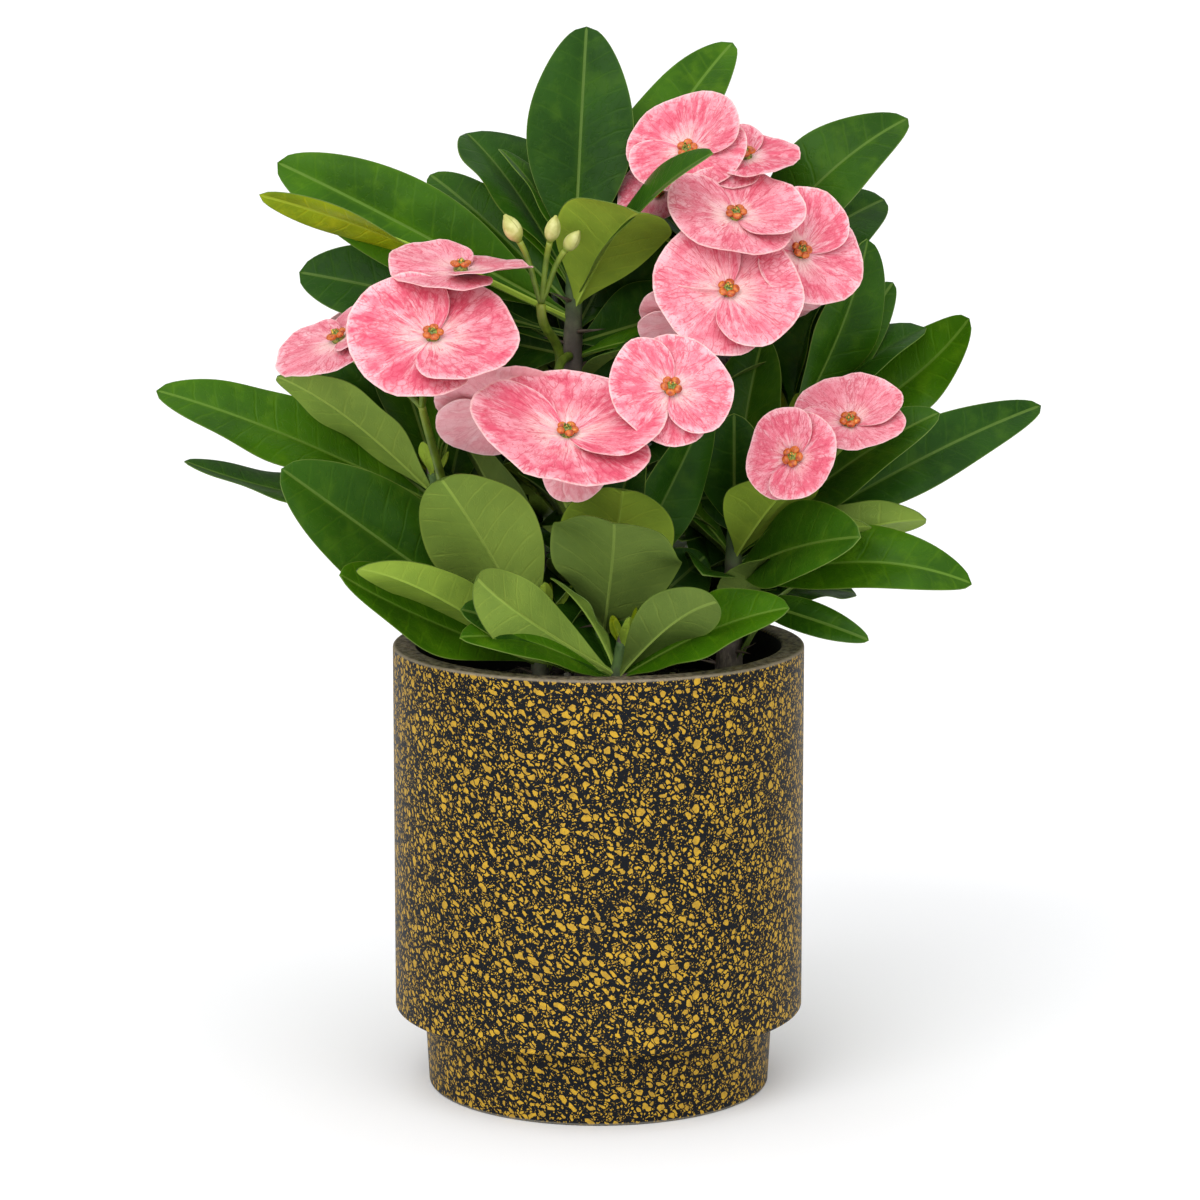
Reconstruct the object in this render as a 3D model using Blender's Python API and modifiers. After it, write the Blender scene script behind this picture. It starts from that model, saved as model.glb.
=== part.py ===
# Potted crown of thorns: a large-flowered euphorbia with pink bracts in a footed cylinder planter.
# Metres, +Z up. The origin is on the planter's axis, on its flat underside. -Y is the front.
import math
import random
from collections import namedtuple

import bmesh
import bpy
from mathutils import Matrix, Vector
from mathutils.bvhtree import BVHTree

MM = 0.001
GAP = 0.0003
WELD = 0.00001

# Planter
POT_RADIUS = 0.070
POT_HEIGHT = 0.153
POT_WALL = 0.0078
POT_FLOOR = 0.009
FOOT_HEIGHT = 0.027
FOOT_TOP_RADIUS = 0.060
FOOT_RADIUS = 0.0585
FOOT_BORE = FOOT_RADIUS - POT_WALL
FOOT_SHELF = FOOT_HEIGHT + POT_WALL
EDGE_ROUND = 0.0012
POT_STEPS = 48

# Potting mix
SOIL_TOP = 0.135
SOIL_STEPS = 32

# Limbs
BEND_REACH = 0.35
COLLAR = 0.0015
LIMB_STEPS = 4
STALK_STEPS = 2
TWIG_POINTS = 3

# Leaves: lengths and widths are shares of the leaf's own length or width
LEAF_SHOULDER = 0.58
LEAF_ROOT_SWELL = 1.1
LEAF_TIP_SWELL = 0.55
LEAF_FOLD = 0.22
LEAF_BOW = 0.06
LEAF_BOW_AT_ROOT = 0.7
LEAF_BOW_TO_TIP = 0.6
LEAF_TWIST_DELAY = 1.5
LEAF_THICKNESS = 0.013
LEAF_ROOT_HALF_WIDTH = 0.0012
LEAF_RINGS = 5

# Where a leaf with a given tip stands on its twig: a flat one, an upright one, the lowest, the highest
STAND_FLAT = 0.25
STAND_RISE = 0.7
STAND_LOWEST = 0.12
STAND_HIGHEST = 0.92

# The spiral rule for the leaves that don't show from the front
GOLDEN_ANGLE = math.radians(137.5)
SPIRAL_ATTEMPTS = 5
SPIRAL_STRAY = 0.3
SPIRAL_FOOT = 0.1
SPIRAL_SPAN = 0.8
SPIRAL_LIFT = 10
SPIRAL_LIFT_RISE = 60
SPIRAL_LIFT_STRAY = 10
SPIRAL_LENGTH = 98
SPIRAL_LENGTH_DROP = 36
SPIRAL_LENGTH_STRAY = 8
SPIRAL_SHRINK = 0.13
SPIRAL_SLIM = 0.33
SPIRAL_BROAD = 0.42
SPIRAL_WIDEST = 0.036
SPIRAL_ROLL = 25
SPIRAL_BOW = (0.05, 0.11)

# Blossom
BRACT_REACH = 0.50
BRACT_BREADTH = 1.12
BRACT_SPAN = math.radians(135)
BRACT_POINTS = 10
BRACT_THICKNESS = 0.0012
BRACT_OVERLAP = 0.10
BRACT_MIDDLE = 0.4
CUP_RADIUS = 0.0042
CUP_RISE = 0.4
STALK_RADIUS = 0.0011
STEM_SWELL = (1.5, 1.2)
RAY_SINK = 0.0008
RAY_STAGGER = 0.0005
RAY_PAST_BRACTS = 0.001

# Shapes are fused at this scale, where they are large beside the solver's own distances
FUSE_SCALE = 1000.0

# The space that the spiral leaves keep to, inside the crown's furthest tips
CROWN_CENTRE = Vector((0.0, 0.014, 0.232))
CROWN_REACH = Vector((0.106, 0.128, 0.106))
RIM_CLEARANCE = 0.003
MOST_FORWARD = -0.15
LEAF_CLEARANCE = 0.0006
LEAF_FOOT = 0.012
LEAF_STATIONS = 8

Leaf = namedtuple("Leaf", "root along face side length width bow twist shoulder")
Flower = namedtuple("Flower", "centre facing seam across width cup")
Limb = namedtuple("Limb", "root tip root_radius tip_radius")

# The trunk: root and tip (mm), root and tip radius (mm).
TRUNK = ((0, 5, 135.3), (-3, 6, 196), 8.0, 6.6)

# The leading bough goes on from the trunk's tip: its tip (mm), root and tip radius (mm).
BOUGH_TOP = (-9, 5, 244)
BOUGH_TOP_RADII = (5.6, 4.2)

# Boughs off the trunk: height and azimuth of the root (mm, degrees), tip (mm), root and tip radius (mm).
BOUGHS = (
    ("bough_top_right", 182, 20, (42, 22, 248), 4.2, 3.4),
    ("bough_upright", 160, 10, (62, 15, 200), 4.0, 3.2),
    ("bough_left", 156, 185, (-50, 1, 190), 4.2, 3.4),
    ("bough_back_left", 172, 135, (-42, 45, 212), 4.0, 3.2),
    ("bough_back_right", 168, 55, (36, 55, 204), 4.0, 3.2),
)

# Side stems out of the potting mix: root x, y, tip (mm), root and tip radius (mm).
STEMS = (
    ("stem_right", (44, -3), (45, -5, 166), 5.0, 4.2),
    ("stem_back", (0, 38), (0, 50, 160), 4.6, 3.8),
)

# Leaf masses. Each twig has its root's limb or place, its tip, its radii, and the leaves that show
# from the front: tip x, y, z (mm), width (mm), roll (degrees), and where they differ bow, twist
# (degrees) and shoulder. The last number says how many more leaves the spiral rule offers to it.
MASSES = (
    ("leaves_top", (
        ("bough_top", (-8, 4, 286), 3.6, 2.4, (
            (-4, 22, 360, 36, 10, 0.03, 0, 0.54),
            (-45, 25, 324, 40, -10, 0.05, 0, 0.70),
            (46, 42, 354, 28, 35, 0.07),
            (-108, 10, 315, 32, -70, 0.04),
            (-112, -16, 306, 18, 165, -0.03, -80),
            (13, -44, 302, 38, -20, 0.10),
            (37, -42, 321, 26, 40, 0.06),
            (-102, 22, 277, 28, -60, 0.03, 0, 0.70),
            (-58, 40, 309, 22, -40, 0.05),
            (34, 26, 264, 28, 60, 0.04),
            (-44, 30, 254, 30, -60, 0.04),
        ), 14),
    )),
    ("leaves_top_right", (
        ("bough_top_right", (46, 27, 286), 3.2, 2.2, (
            (105, 25, 329, 31, 53, 0.11),
            (99, 48, 300, 32, 42, 0.06),
        ), 14),
    )),
    ("leaves_upright", (
        ("bough_upright", (66, 16, 228), 3.0, 2.2, (
            (90, 2, 290, 30, 160, 0.05),
            (126, 15, 262, 27, 60, -0.16),
            (101, 30, 273, 18, 60, 0.05),
            (34, 2, 202, 28, -75, 0.03),
        ), 12),
    )),
    ("leaves_right", (
        ("stem_right", (46, -6, 197), 3.6, 2.4, (
            (152, 25, 231, 23, 55, 0.07),
            (114, -12, 233, 28, 44, 0.06),
            (124, -30, 178, 27, 45, 0.15),
            (109, -25, 199, 25, -45, 0.06),
            (89, -40, 199, 22, -30, 0.06),
            (85, -58, 198, 31, 60, 0.06),
            (67, -45, 216, 31, -9, 0.05),
            (56, 10, 256, 30, 0, 0.05),
            (45, -22, 234, 24, 180, 0.04),
            (90, -30, 159, 12, 60, 0.06),
            (88, 10, 168, 24, 20, 0.05),
        ), 8),
    )),
    ("leaves_front", (
        ((2, -22), (1, -25, 173), 3.6, 2.4, (
            (5, -80, 206, 44, -15, 0.06),
            (9, -54, 216, 38, -15, 0.06),
            (14, -28, 226, 28, 60, 0.05),
            (29, 8, 224, 26, 10, 0.05),
            (46, -45, 171, 20, -30, 0.06),
            (35, -34, 238, 24, 150, 0.05),
            (36, -8, 184, 26, 70, 0.03),
        ), 5),
        ((4, -34), (8, -38, 160), 2.8, 2.2, (
            (-39, -78, 188, 24, 90, 0.08),
            (38, -77, 180, 22, -15, 0.06, 60),
            (-45, -57, 174, 24, -50, 0.06),
            (-45, -64, 166, 24, -35, 0.10),
            (62, -60, 175, 28, 40, 0.06),
        ), 4),
    )),
    ("leaves_mid_left", (
        ((-20, -18), (-19, -20, 166), 3.6, 2.4, (
            (-51, -55, 217, 38, 40, 0.05),
            (-104, -40, 218, 38, -75, 0.0),
            (-54, -26, 209, 29, -45, 0.05),
            (-84, -60, 186, 33, -45, -0.03),
            (-77, -72, 190, 22, 35, 0.06),
            (-47, 2, 224, 30, 60, 0.05),
        ), 5),
    )),
    ("leaves_left", (
        ("bough_left", (-56, -3, 212), 3.2, 2.2, (
            (-149, 0, 239, 28, -45, 0.04),
            (-140, 0, 215, 22, -15, -0.04),
            (-106, -27, 247, 24, 35, 0.06),
            (-94, 20, 226, 28, -60, 0.04),
        ), 12),
    )),
    ("leaves_back_left", (
        ("bough_back_left", (-46, 50, 238), 3.0, 2.2, (
            (-36, 48, 304, 30, 90, 0.05),
        ), 20),
    )),
    ("leaves_back_right", (
        ("bough_back_right", (40, 61, 232), 3.0, 2.2, (), 20),
    )),
    ("leaves_back", (
        ("stem_back", (0, 56, 186), 3.2, 2.2, (
            (-33, 8, 160, 28, 10, 0.04),
        ), 22),
    )),
)

# Blossom. Each spray names the mass whose twig bears it, how far along that twig and at which azimuth
# its stalk comes out, its fork (mm), and its flowers: centre x, y, z (mm), width (mm), azimuth and
# lift of the way it faces, turn of its seam (degrees), and how far its bracts cup.
SPRAYS = (
    ("blossom_left", "leaves_left", 0.75, -75, (-58, -34, 238), (
        (-53, -62, 263, 57, -92, 56, 104, 0.08),
        (-45, -34, 282, 49, -85, 82, 100, 0.10),
        (-85, -30, 259, 46, -150, 58, 0, 0.08),
    )),
    ("blossom_middle", "leaves_top", 0.15, -110, (-12, -48, 230), (
        (-10, -80, 234, 60, -82, 60, -35, 0.22),
        (23, -76, 248, 40, -85, 38, 115, 0.08),
        (-32, -52, 238, 42, 100, 38, 0, 0.10),
        (-8, -57, 221, 23, 80, -15, 90, 0.10),
    )),
    ("blossom_top_right", "leaves_top_right", 0.55, -100, (42, -6, 282), (
        (42, -42, 276, 50, -85, 40, 100, 0.12),
        (66, -22, 287, 45, -65, 35, 30, 0.15),
        (45, -25, 299, 45, -85, 55, -40, 0.20),
        (30, 0, 319, 40, -105, 35, 20, 0.30),
        (49, 0, 317, 38, -100, 66, 95, 0.05),
        (62, -14, 270, 30, 110, 50, 0, 0.10),
        (20, 4, 305, 28, -110, 40, 60, 0.15),
        (30, -34, 266, 34, 100, 45, 0, 0.10),
    )),
    ("blossom_low_right", "leaves_right", 0.95, -20, (70, -18, 212), (
        (64, -45, 222, 31, -110, 22, 80, 0.34),
        (83, -28, 231, 36, -95, 52, 10, 0.35),
    )),
    ("blossom_back_left", "leaves_back_left", 0.80, 130, (-60, 72, 236), (
        (-56, 100, 240, 52, 108, 30, 80, 0.10),
        (-84, 78, 246, 44, 140, 40, 20, 0.14),
        (-36, 86, 262, 44, 95, 50, 10, 0.12),
    )),
    ("blossom_back_right", "leaves_back_right", 0.80, 60, (52, 76, 250), (
        (46, 98, 252, 54, 82, 40, 100, 0.10),
        (84, 74, 258, 46, 30, 45, 30, 0.14),
        (58, 66, 280, 42, 60, 72, 60, 0.12),
    )),
    ("blossom_back_top", "leaves_top", 0.60, 95, (0, 36, 290), (
        (-4, 60, 304, 46, 95, 40, 20, 0.10),
        (18, 60, 294, 38, 75, 36, 95, 0.14),
    )),
)


def bezier(start, start_way, end, end_way, steps):
    # A curve between two points, with a short straight collar at each end that keeps its cut square
    first = start + start_way * COLLAR
    last = end - end_way * COLLAR
    reach = (last - first).length * BEND_REACH
    near = first + start_way * reach
    far = last - end_way * reach
    points = [start]
    for step in range(steps + 1):
        t = step / steps
        s = 1 - t
        points.append(first * s ** 3 + near * 3 * s * s * t + far * 3 * s * t * t + last * t ** 3)
    return points + [end]


def link(name, mesh, collection, material):
    thing = bpy.data.objects.new(name, mesh)
    collection.objects.link(thing)
    if material:
        mesh.materials.clear()
        mesh.materials.append(material)
    return thing


def tube_mesh(points, radii, bevel_resolution):
    curve = bpy.data.curves.new("tube", "CURVE")
    curve.dimensions = "3D"
    curve.bevel_depth = 1.0
    curve.bevel_resolution = bevel_resolution
    curve.use_fill_caps = True
    spline = curve.splines.new("POLY")
    spline.points.add(len(points) - 1)
    for point, place, radius in zip(spline.points, points, radii):
        point.co = (*place, 1.0)
        point.radius = radius
    thing = bpy.data.objects.new("tube", curve)
    bpy.context.scene.collection.objects.link(thing)
    bpy.context.view_layer.update()
    mesh = bpy.data.meshes.new_from_object(thing.evaluated_get(bpy.context.evaluated_depsgraph_get()))
    bpy.data.objects.remove(thing)
    shape = bmesh.new()
    shape.from_mesh(mesh)
    bmesh.ops.remove_doubles(shape, verts=shape.verts, dist=WELD)
    bmesh.ops.recalc_face_normals(shape, faces=shape.faces)
    shape.to_mesh(mesh)
    shape.free()
    return mesh


def taper(first, last, count):
    return [first + (last - first) * index / (count - 1) for index in range(count)]


def turned(name, profile, steps, collection, material):
    shape = bmesh.new()
    verts = [shape.verts.new((radius, 0.0, height)) for radius, height in profile]
    for first, second in zip(verts, verts[1:]):
        shape.edges.new((first, second))
    mesh = bpy.data.meshes.new(name)
    shape.to_mesh(mesh)
    shape.free()
    thing = link(name, mesh, collection, material)
    screw = thing.modifiers.new("Turn", "SCREW")
    screw.steps = steps
    screw.render_steps = steps
    screw.use_merge_vertices = True
    screw.merge_threshold = WELD
    return thing


def leaf_frame(way, roll):
    along = way.normalized()
    flat = Vector((along.x, along.y, 0.0)).normalized()
    face = Vector((-along.z * flat.x, -along.z * flat.y, math.hypot(along.x, along.y)))
    side = along.cross(face)
    turn_face = face * math.cos(roll) + side * math.sin(roll)
    turn_side = side * math.cos(roll) - face * math.sin(roll)
    return along, turn_face, turn_side


def leaf_half_width(leaf, t):
    stretch = math.log(0.5) / math.log(leaf.shoulder)
    swell = math.sin(math.pi * t ** stretch) if 0 < t < 1 else 0.0
    half = leaf.width / 2 * max(swell, 0.0) ** (LEAF_ROOT_SWELL - LEAF_TIP_SWELL * t)
    return max(half, LEAF_ROOT_HALF_WIDTH * (1 - t))


def leaf_point(leaf, t, across, off):
    half = leaf_half_width(leaf, t)
    bow = leaf.bow * leaf.length * 4 * t * (1 - t) * (LEAF_BOW_AT_ROOT + LEAF_BOW_TO_TIP * t)
    turn = leaf.twist * t ** LEAF_TWIST_DELAY
    side = leaf.side * math.cos(turn) + leaf.face * math.sin(turn)
    face = leaf.face * math.cos(turn) - leaf.side * math.sin(turn)
    rise = half * LEAF_FOLD * abs(across) + off
    return leaf.root + leaf.along * leaf.length * t + leaf.face * bow + side * half * across + face * rise


def leaf_mesh(leaf, spare=0.0):
    # Four-sided blade with a point at each end: two edges, and a ridge on either face
    shape = bmesh.new()
    bmesh.ops.create_uvsphere(shape, u_segments=4, v_segments=LEAF_RINGS, radius=1.0)
    thick = leaf.length * LEAF_THICKNESS / 2
    for vert in shape.verts:
        t = (1 - vert.co.z) / 2
        ring = Vector((vert.co.x, vert.co.y))
        across, over = ring.normalized() if ring.length > WELD else (0.0, 0.0)
        wide = across * (1 + spare * 2 / leaf.width)
        vert.co = leaf_point(leaf, t, wide, over * (thick + spare))
    bmesh.ops.triangulate(shape, faces=shape.faces)
    mesh = bpy.data.meshes.new("leaf")
    shape.to_mesh(mesh)
    shape.free()
    return mesh


def direction(azimuth, lift):
    flat = math.cos(lift)
    return Vector((flat * math.cos(azimuth), flat * math.sin(azimuth), math.sin(lift)))


def limb_point(limb, along):
    return limb.root.lerp(limb.tip, along)


def leaf_to_tip(twig, x, y, z, width, roll, bow=LEAF_BOW, twist=0.0, shoulder=LEAF_SHOULDER):
    # A leaf that stands up grows near its twig's tip, and one that spreads grows lower down
    tip = Vector((x, y, z)) * MM
    way = tip - limb_point(twig, 0.5)
    lift = math.asin(way.normalized().z) / (math.pi / 2)
    root = limb_point(twig, min(max(STAND_FLAT + STAND_RISE * lift, STAND_LOWEST), STAND_HIGHEST))
    way = tip - root
    along, face, side = leaf_frame(way, math.radians(roll))
    return Leaf(root, along, face, side, way.length, width * MM, bow, math.radians(twist), shoulder)


def spiral_leaf(twig, index, count, attempt, draw):
    # Leaves stand round the twig a golden angle apart, low ones long and flat, high ones short and steep.
    # A leaf that found no room is offered again, shorter and turned a little.
    rise = (index + 0.5) / count
    azimuth = index * GOLDEN_ANGLE + draw.uniform(-SPIRAL_STRAY, SPIRAL_STRAY) * (1 + attempt)
    lift = SPIRAL_LIFT + SPIRAL_LIFT_RISE * rise + draw.uniform(-SPIRAL_LIFT_STRAY, SPIRAL_LIFT_STRAY)
    length = SPIRAL_LENGTH - SPIRAL_LENGTH_DROP * rise
    length = length + draw.uniform(-SPIRAL_LENGTH_STRAY, SPIRAL_LENGTH_STRAY)
    length = length * (1 - SPIRAL_SHRINK * attempt) * MM
    width = min(length * draw.uniform(SPIRAL_SLIM, SPIRAL_BROAD), SPIRAL_WIDEST)
    roll = math.radians(draw.uniform(-SPIRAL_ROLL, SPIRAL_ROLL))
    along, face, side = leaf_frame(direction(azimuth, math.radians(lift)), roll)
    root = limb_point(twig, SPIRAL_FOOT + SPIRAL_SPAN * rise)
    return Leaf(root, along, face, side, length, width, draw.uniform(*SPIRAL_BOW), 0.0, LEAF_SHOULDER)


def surface(mesh):
    corners = [vert.co for vert in mesh.vertices]
    return BVHTree.FromPolygons(corners, [face.vertices[:] for face in mesh.polygons])


def leaf_surface(leaf, spare=0.0):
    mesh = leaf_mesh(leaf, spare)
    tree = surface(mesh)
    bpy.data.meshes.remove(mesh)
    return tree


def in_crown(leaf):
    tip = leaf_point(leaf, 1.0, 0.0, 0.0)
    out = [(tip[axis] - CROWN_CENTRE[axis]) / CROWN_REACH[axis] for axis in range(3)]
    stations = [station / LEAF_STATIONS for station in range(3, LEAF_STATIONS + 1)]
    low = min(leaf_point(leaf, t, across, 0.0).z for t in stations for across in (-1, 1))
    return sum(part * part for part in out) < 1 and low > POT_HEIGHT + RIM_CLEARANCE


def fits(leaf, name, taken):
    # Where the front leaves are given, a spiral leaf stands at the sides or behind. It is clear of
    # every other node, and past its own foot it is clear of its own mass's leaves too.
    forward = leaf.along.y < MOST_FORWARD and not name.startswith("leaves_back")
    if forward or not in_crown(leaf):
        return False
    whole = leaf_surface(leaf, LEAF_CLEARANCE)
    if any(whole.overlap(tree) for other, tree in taken if other.split()[0] != name):
        return False
    outer = leaf._replace(root=leaf.root + leaf.along * LEAF_FOOT, length=leaf.length - LEAF_FOOT)
    outer = leaf_surface(outer)
    own = [tree for other, tree in taken if other.split()[0] == name and not other.endswith("twig")]
    return not any(outer.overlap(tree) for tree in own)


def flower_frame(azimuth, lift, turn):
    facing = direction(math.radians(azimuth), math.radians(lift))
    up = (Vector((0, 0, 1)) - facing * facing.z).normalized()
    right = up.cross(facing)
    turn = math.radians(turn)
    seam = right * math.cos(turn) + up * math.sin(turn)
    return facing, seam, up * math.cos(turn) - right * math.sin(turn)


def bract_point(flower, half, angle, reach, off):
    # One bract spans 270 degrees round the flower's centre and laps over its twin on one side
    spread = angle * BRACT_SPAN / math.pi
    radius = flower.width * BRACT_REACH * math.sqrt(max(1 - (abs(angle) / math.pi) ** 4, 0.0)) * reach
    seam = radius * math.sin(spread) * BRACT_BREADTH
    out = radius * math.cos(spread)
    rise = BRACT_OVERLAP * seam + flower.cup * radius + off
    return flower.centre + (flower.seam * seam + flower.across * out) * half + flower.facing * rise


def bract_mesh(flower, half):
    shape = bmesh.new()
    bmesh.ops.create_uvsphere(shape, u_segments=BRACT_POINTS, v_segments=2, radius=1.0)
    for vert in shape.verts:
        if abs(vert.co.z) > 0.5:
            off = math.copysign(BRACT_THICKNESS / 2, vert.co.z)
            vert.co = bract_point(flower, half, 0.0, BRACT_MIDDLE, off)
        else:
            vert.co = bract_point(flower, half, math.atan2(vert.co.x, vert.co.y), 1.0, 0.0)
    mesh = bpy.data.meshes.new("bract")
    shape.to_mesh(mesh)
    shape.free()
    return mesh


def cup_mesh(flower):
    shape = bmesh.new()
    bmesh.ops.create_uvsphere(shape, u_segments=5, v_segments=3, radius=CUP_RADIUS)
    bmesh.ops.translate(shape, verts=shape.verts, vec=flower.centre + flower.facing * CUP_RADIUS * CUP_RISE)
    mesh = bpy.data.meshes.new("cup")
    shape.to_mesh(mesh)
    shape.free()
    return mesh


def fuse(name, meshes, collection, material):
    # One union of all the meshes, by the first solver that gives a clean closed body
    gather = bpy.data.collections.new(name + "_shapes")
    bpy.context.scene.collection.children.link(gather)
    for mesh in meshes:
        mesh.transform(Matrix.Scale(FUSE_SCALE, 4))
    base = link(name, meshes[0], collection, material)
    for mesh in meshes[1:]:
        link("shape", mesh, gather, None)
    union = base.modifiers.new("Fuse", "BOOLEAN")
    union.operation = "UNION"
    union.operand_type = "COLLECTION"
    union.collection = gather
    for solver in ("MANIFOLD", "EXACT"):
        union.solver = solver
        bpy.context.view_layer.update()
        joined = bpy.data.meshes.new_from_object(base.evaluated_get(bpy.context.evaluated_depsgraph_get()))
        keep_largest_body(joined)
        if split_to_triangles(joined):
            break
    else:
        raise ValueError(name + " has no clean union")
    base.modifiers.clear()
    base.data = joined
    joined.name = name
    for shape in list(gather.objects):
        bpy.data.objects.remove(shape)
    bpy.data.collections.remove(gather)
    joined.transform(Matrix.Scale(1 / FUSE_SCALE, 4))


def keep_largest_body(mesh):
    shape = bmesh.new()
    shape.from_mesh(mesh)
    bodies = []
    seen = set()
    for face in shape.faces:
        if face in seen:
            continue
        body = [face]
        seen.add(face)
        for each in body:
            for edge in each.edges:
                for other in edge.link_faces:
                    if other not in seen:
                        seen.add(other)
                        body.append(other)
        bodies.append(body)
    bodies.sort(key=len)
    for body in bodies[:-1]:
        bmesh.ops.delete(shape, geom=body, context="FACES")
    bmesh.ops.delete(shape, geom=[vert for vert in shape.verts if not vert.link_faces], context="VERTS")
    shape.to_mesh(mesh)
    shape.free()


def split_to_triangles(mesh):
    # Many-sided faces are cut by the first method that leaves each edge between two faces
    for method in ("EAR_CLIP", "BEAUTY"):
        for order in ("SHORT_EDGE", "LONG_EDGE", "BEAUTY"):
            shape = bmesh.new()
            shape.from_mesh(mesh)
            bmesh.ops.triangulate(shape, faces=shape.faces, quad_method=order, ngon_method=method)
            closed = all(edge.is_manifold for edge in shape.edges)
            if closed:
                shape.to_mesh(mesh)
            shape.free()
            if closed:
                return True
    return False


def finish_material(name, colour, roughness):
    material = bpy.data.materials.new(name)
    material.use_nodes = True
    shader = material.node_tree.nodes["Principled BSDF"]
    shader.inputs["Base Color"].default_value = (*colour, 1.0)
    shader.inputs["Roughness"].default_value = roughness
    shader.inputs["Metallic"].default_value = 0.0
    return material


def make_pot(collection):
    inner = POT_RADIUS - POT_WALL
    profile = (
        (0.0, POT_FLOOR),
        (FOOT_BORE, POT_FLOOR),
        (FOOT_BORE, FOOT_SHELF),
        (inner, FOOT_SHELF),
        (inner, POT_HEIGHT - EDGE_ROUND),
        (inner + EDGE_ROUND, POT_HEIGHT),
        (POT_RADIUS - EDGE_ROUND, POT_HEIGHT),
        (POT_RADIUS, POT_HEIGHT - EDGE_ROUND),
        (POT_RADIUS, FOOT_HEIGHT + EDGE_ROUND),
        (POT_RADIUS - EDGE_ROUND, FOOT_HEIGHT),
        (FOOT_TOP_RADIUS, FOOT_HEIGHT),
        (FOOT_RADIUS, EDGE_ROUND),
        (FOOT_RADIUS - EDGE_ROUND, 0.0),
        (0.0, 0.0),
    )
    material = finish_material("speckled_stone", (0.16, 0.11, 0.03), 0.75)
    return turned("pot", profile, POT_STEPS, collection, material)


def make_soil(collection):
    radius = POT_RADIUS - POT_WALL - GAP
    profile = (
        (0.0, SOIL_TOP),
        (radius, SOIL_TOP),
        (radius, FOOT_SHELF + GAP),
        (FOOT_BORE - GAP, FOOT_SHELF + GAP),
        (FOOT_BORE - GAP, POT_FLOOR + GAP),
        (0.0, POT_FLOOR + GAP),
    )
    material = finish_material("potting_mix", (0.05, 0.035, 0.025), 0.95)
    return turned("potting_mix", profile, SOIL_STEPS, collection, material)


def place(x, y, z):
    return Vector((x, y, z)) * MM


def limb_way(limb):
    return (limb.tip - limb.root).normalized()


def beside(limb, along, azimuth):
    # A point just off the limb's side, from which a smaller limb starts straight out
    radius = limb.root_radius + (limb.tip_radius - limb.root_radius) * along
    way = direction(math.radians(azimuth), 0.0)
    axis = limb_way(limb)
    way = (way - axis * way.dot(axis)).normalized()
    return limb_point(limb, along) + way * (radius + GAP), way


def make_limb(name, root, way, tip, tip_way, radii, resolution, collection, material, taken):
    points = bezier(root, way, tip, tip_way, LIMB_STEPS)
    mesh = tube_mesh(points, taper(radii[0] * MM, radii[1] * MM, len(points)), resolution)
    mesh.name = name
    link(name, mesh, collection, material)
    taken.append((name, surface(mesh)))


def plan_twigs():
    # The straight twig at the heart of each mass, and the limb's tip that it stands on
    tips = {name: place(*tip) for name, height, azimuth, tip, root_radius, tip_radius in BOUGHS}
    tips.update({name: place(*tip) for name, root, tip, root_radius, tip_radius in STEMS})
    tips["bough_top"] = place(*BOUGH_TOP)
    twigs = {}
    for name, rows in MASSES:
        twigs[name] = []
        for stand, tip, root_radius, tip_radius, leaves, extra in rows:
            foot = tips[stand] if stand in tips else place(*stand, SOIL_TOP / MM)
            up = (place(*tip) - foot).normalized()
            if stand in tips:
                tips[stand] = (foot, up)
            else:
                foot.z += math.hypot(up.x, up.y) * root_radius * MM
            twigs[name].append(Limb(foot + up * GAP, place(*tip), root_radius * MM, tip_radius * MM))
    return twigs, tips


def make_limbs(collection, tips, taken):
    bark = finish_material("bark", (0.20, 0.15, 0.11), 0.85)
    up = Vector((0, 0, 1))
    root, tip, root_radius, tip_radius = TRUNK
    trunk = Limb(place(*root), place(*tip), root_radius * MM, tip_radius * MM)
    make_limb("trunk", trunk.root, up, trunk.tip, up, (root_radius, tip_radius), 2, collection, bark, taken)
    foot, way = tips["bough_top"]
    start = trunk.tip + up * GAP
    make_limb("bough_top", start, up, foot, way, BOUGH_TOP_RADII, 1, collection, bark, taken)
    for name, height, azimuth, tip, root_radius, tip_radius in BOUGHS:
        start, out = beside(trunk, (height * MM - trunk.root.z) / (trunk.tip.z - trunk.root.z), azimuth)
        foot, way = tips[name]
        make_limb(name, start, out, foot, way, (root_radius, tip_radius), 1, collection, bark, taken)
    for name, root, tip, root_radius, tip_radius in STEMS:
        foot, way = tips[name]
        start = place(*root, SOIL_TOP / MM) + up * GAP
        make_limb(name, start, up, foot, way, (root_radius, tip_radius), 1, collection, bark, taken)


def spray_flowers(rows):
    flowers = []
    for x, y, z, width, azimuth, lift, turn, cup in rows:
        flowers.append(Flower(place(x, y, z), *flower_frame(azimuth, lift, turn), width * MM, cup))
    return flowers


def spray_meshes(twig, along, azimuth, fork, flowers):
    root, way = beside(twig, along, azimuth)
    fork = place(*fork)
    rise = (fork - root).normalized()
    stem = bezier(root, way, fork, rise, STALK_STEPS)
    radii = taper(STALK_RADIUS * STEM_SWELL[0], STALK_RADIUS * STEM_SWELL[1], len(stem))
    meshes = [("stem", tube_mesh(stem, radii, 0))]
    for index, flower in enumerate(flowers):
        # Rays leave the fork fanned out and each a little lower than the last, so that no two share a face
        start = fork - rise * (RAY_SINK + RAY_STAGGER * index)
        fan = (rise + (flower.centre - fork).normalized()).normalized()
        end = flower.centre + flower.facing * RAY_PAST_BRACTS
        ray = bezier(start, fan, end, flower.facing, STALK_STEPS)
        meshes.append((f"ray{index}", tube_mesh(ray, [STALK_RADIUS] * len(ray), 0)))
        for half in (1, -1):
            meshes.append((f"bract{index}", bract_mesh(flower, half)))
        meshes.append((f"cup{index}", cup_mesh(flower)))
    return meshes


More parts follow.
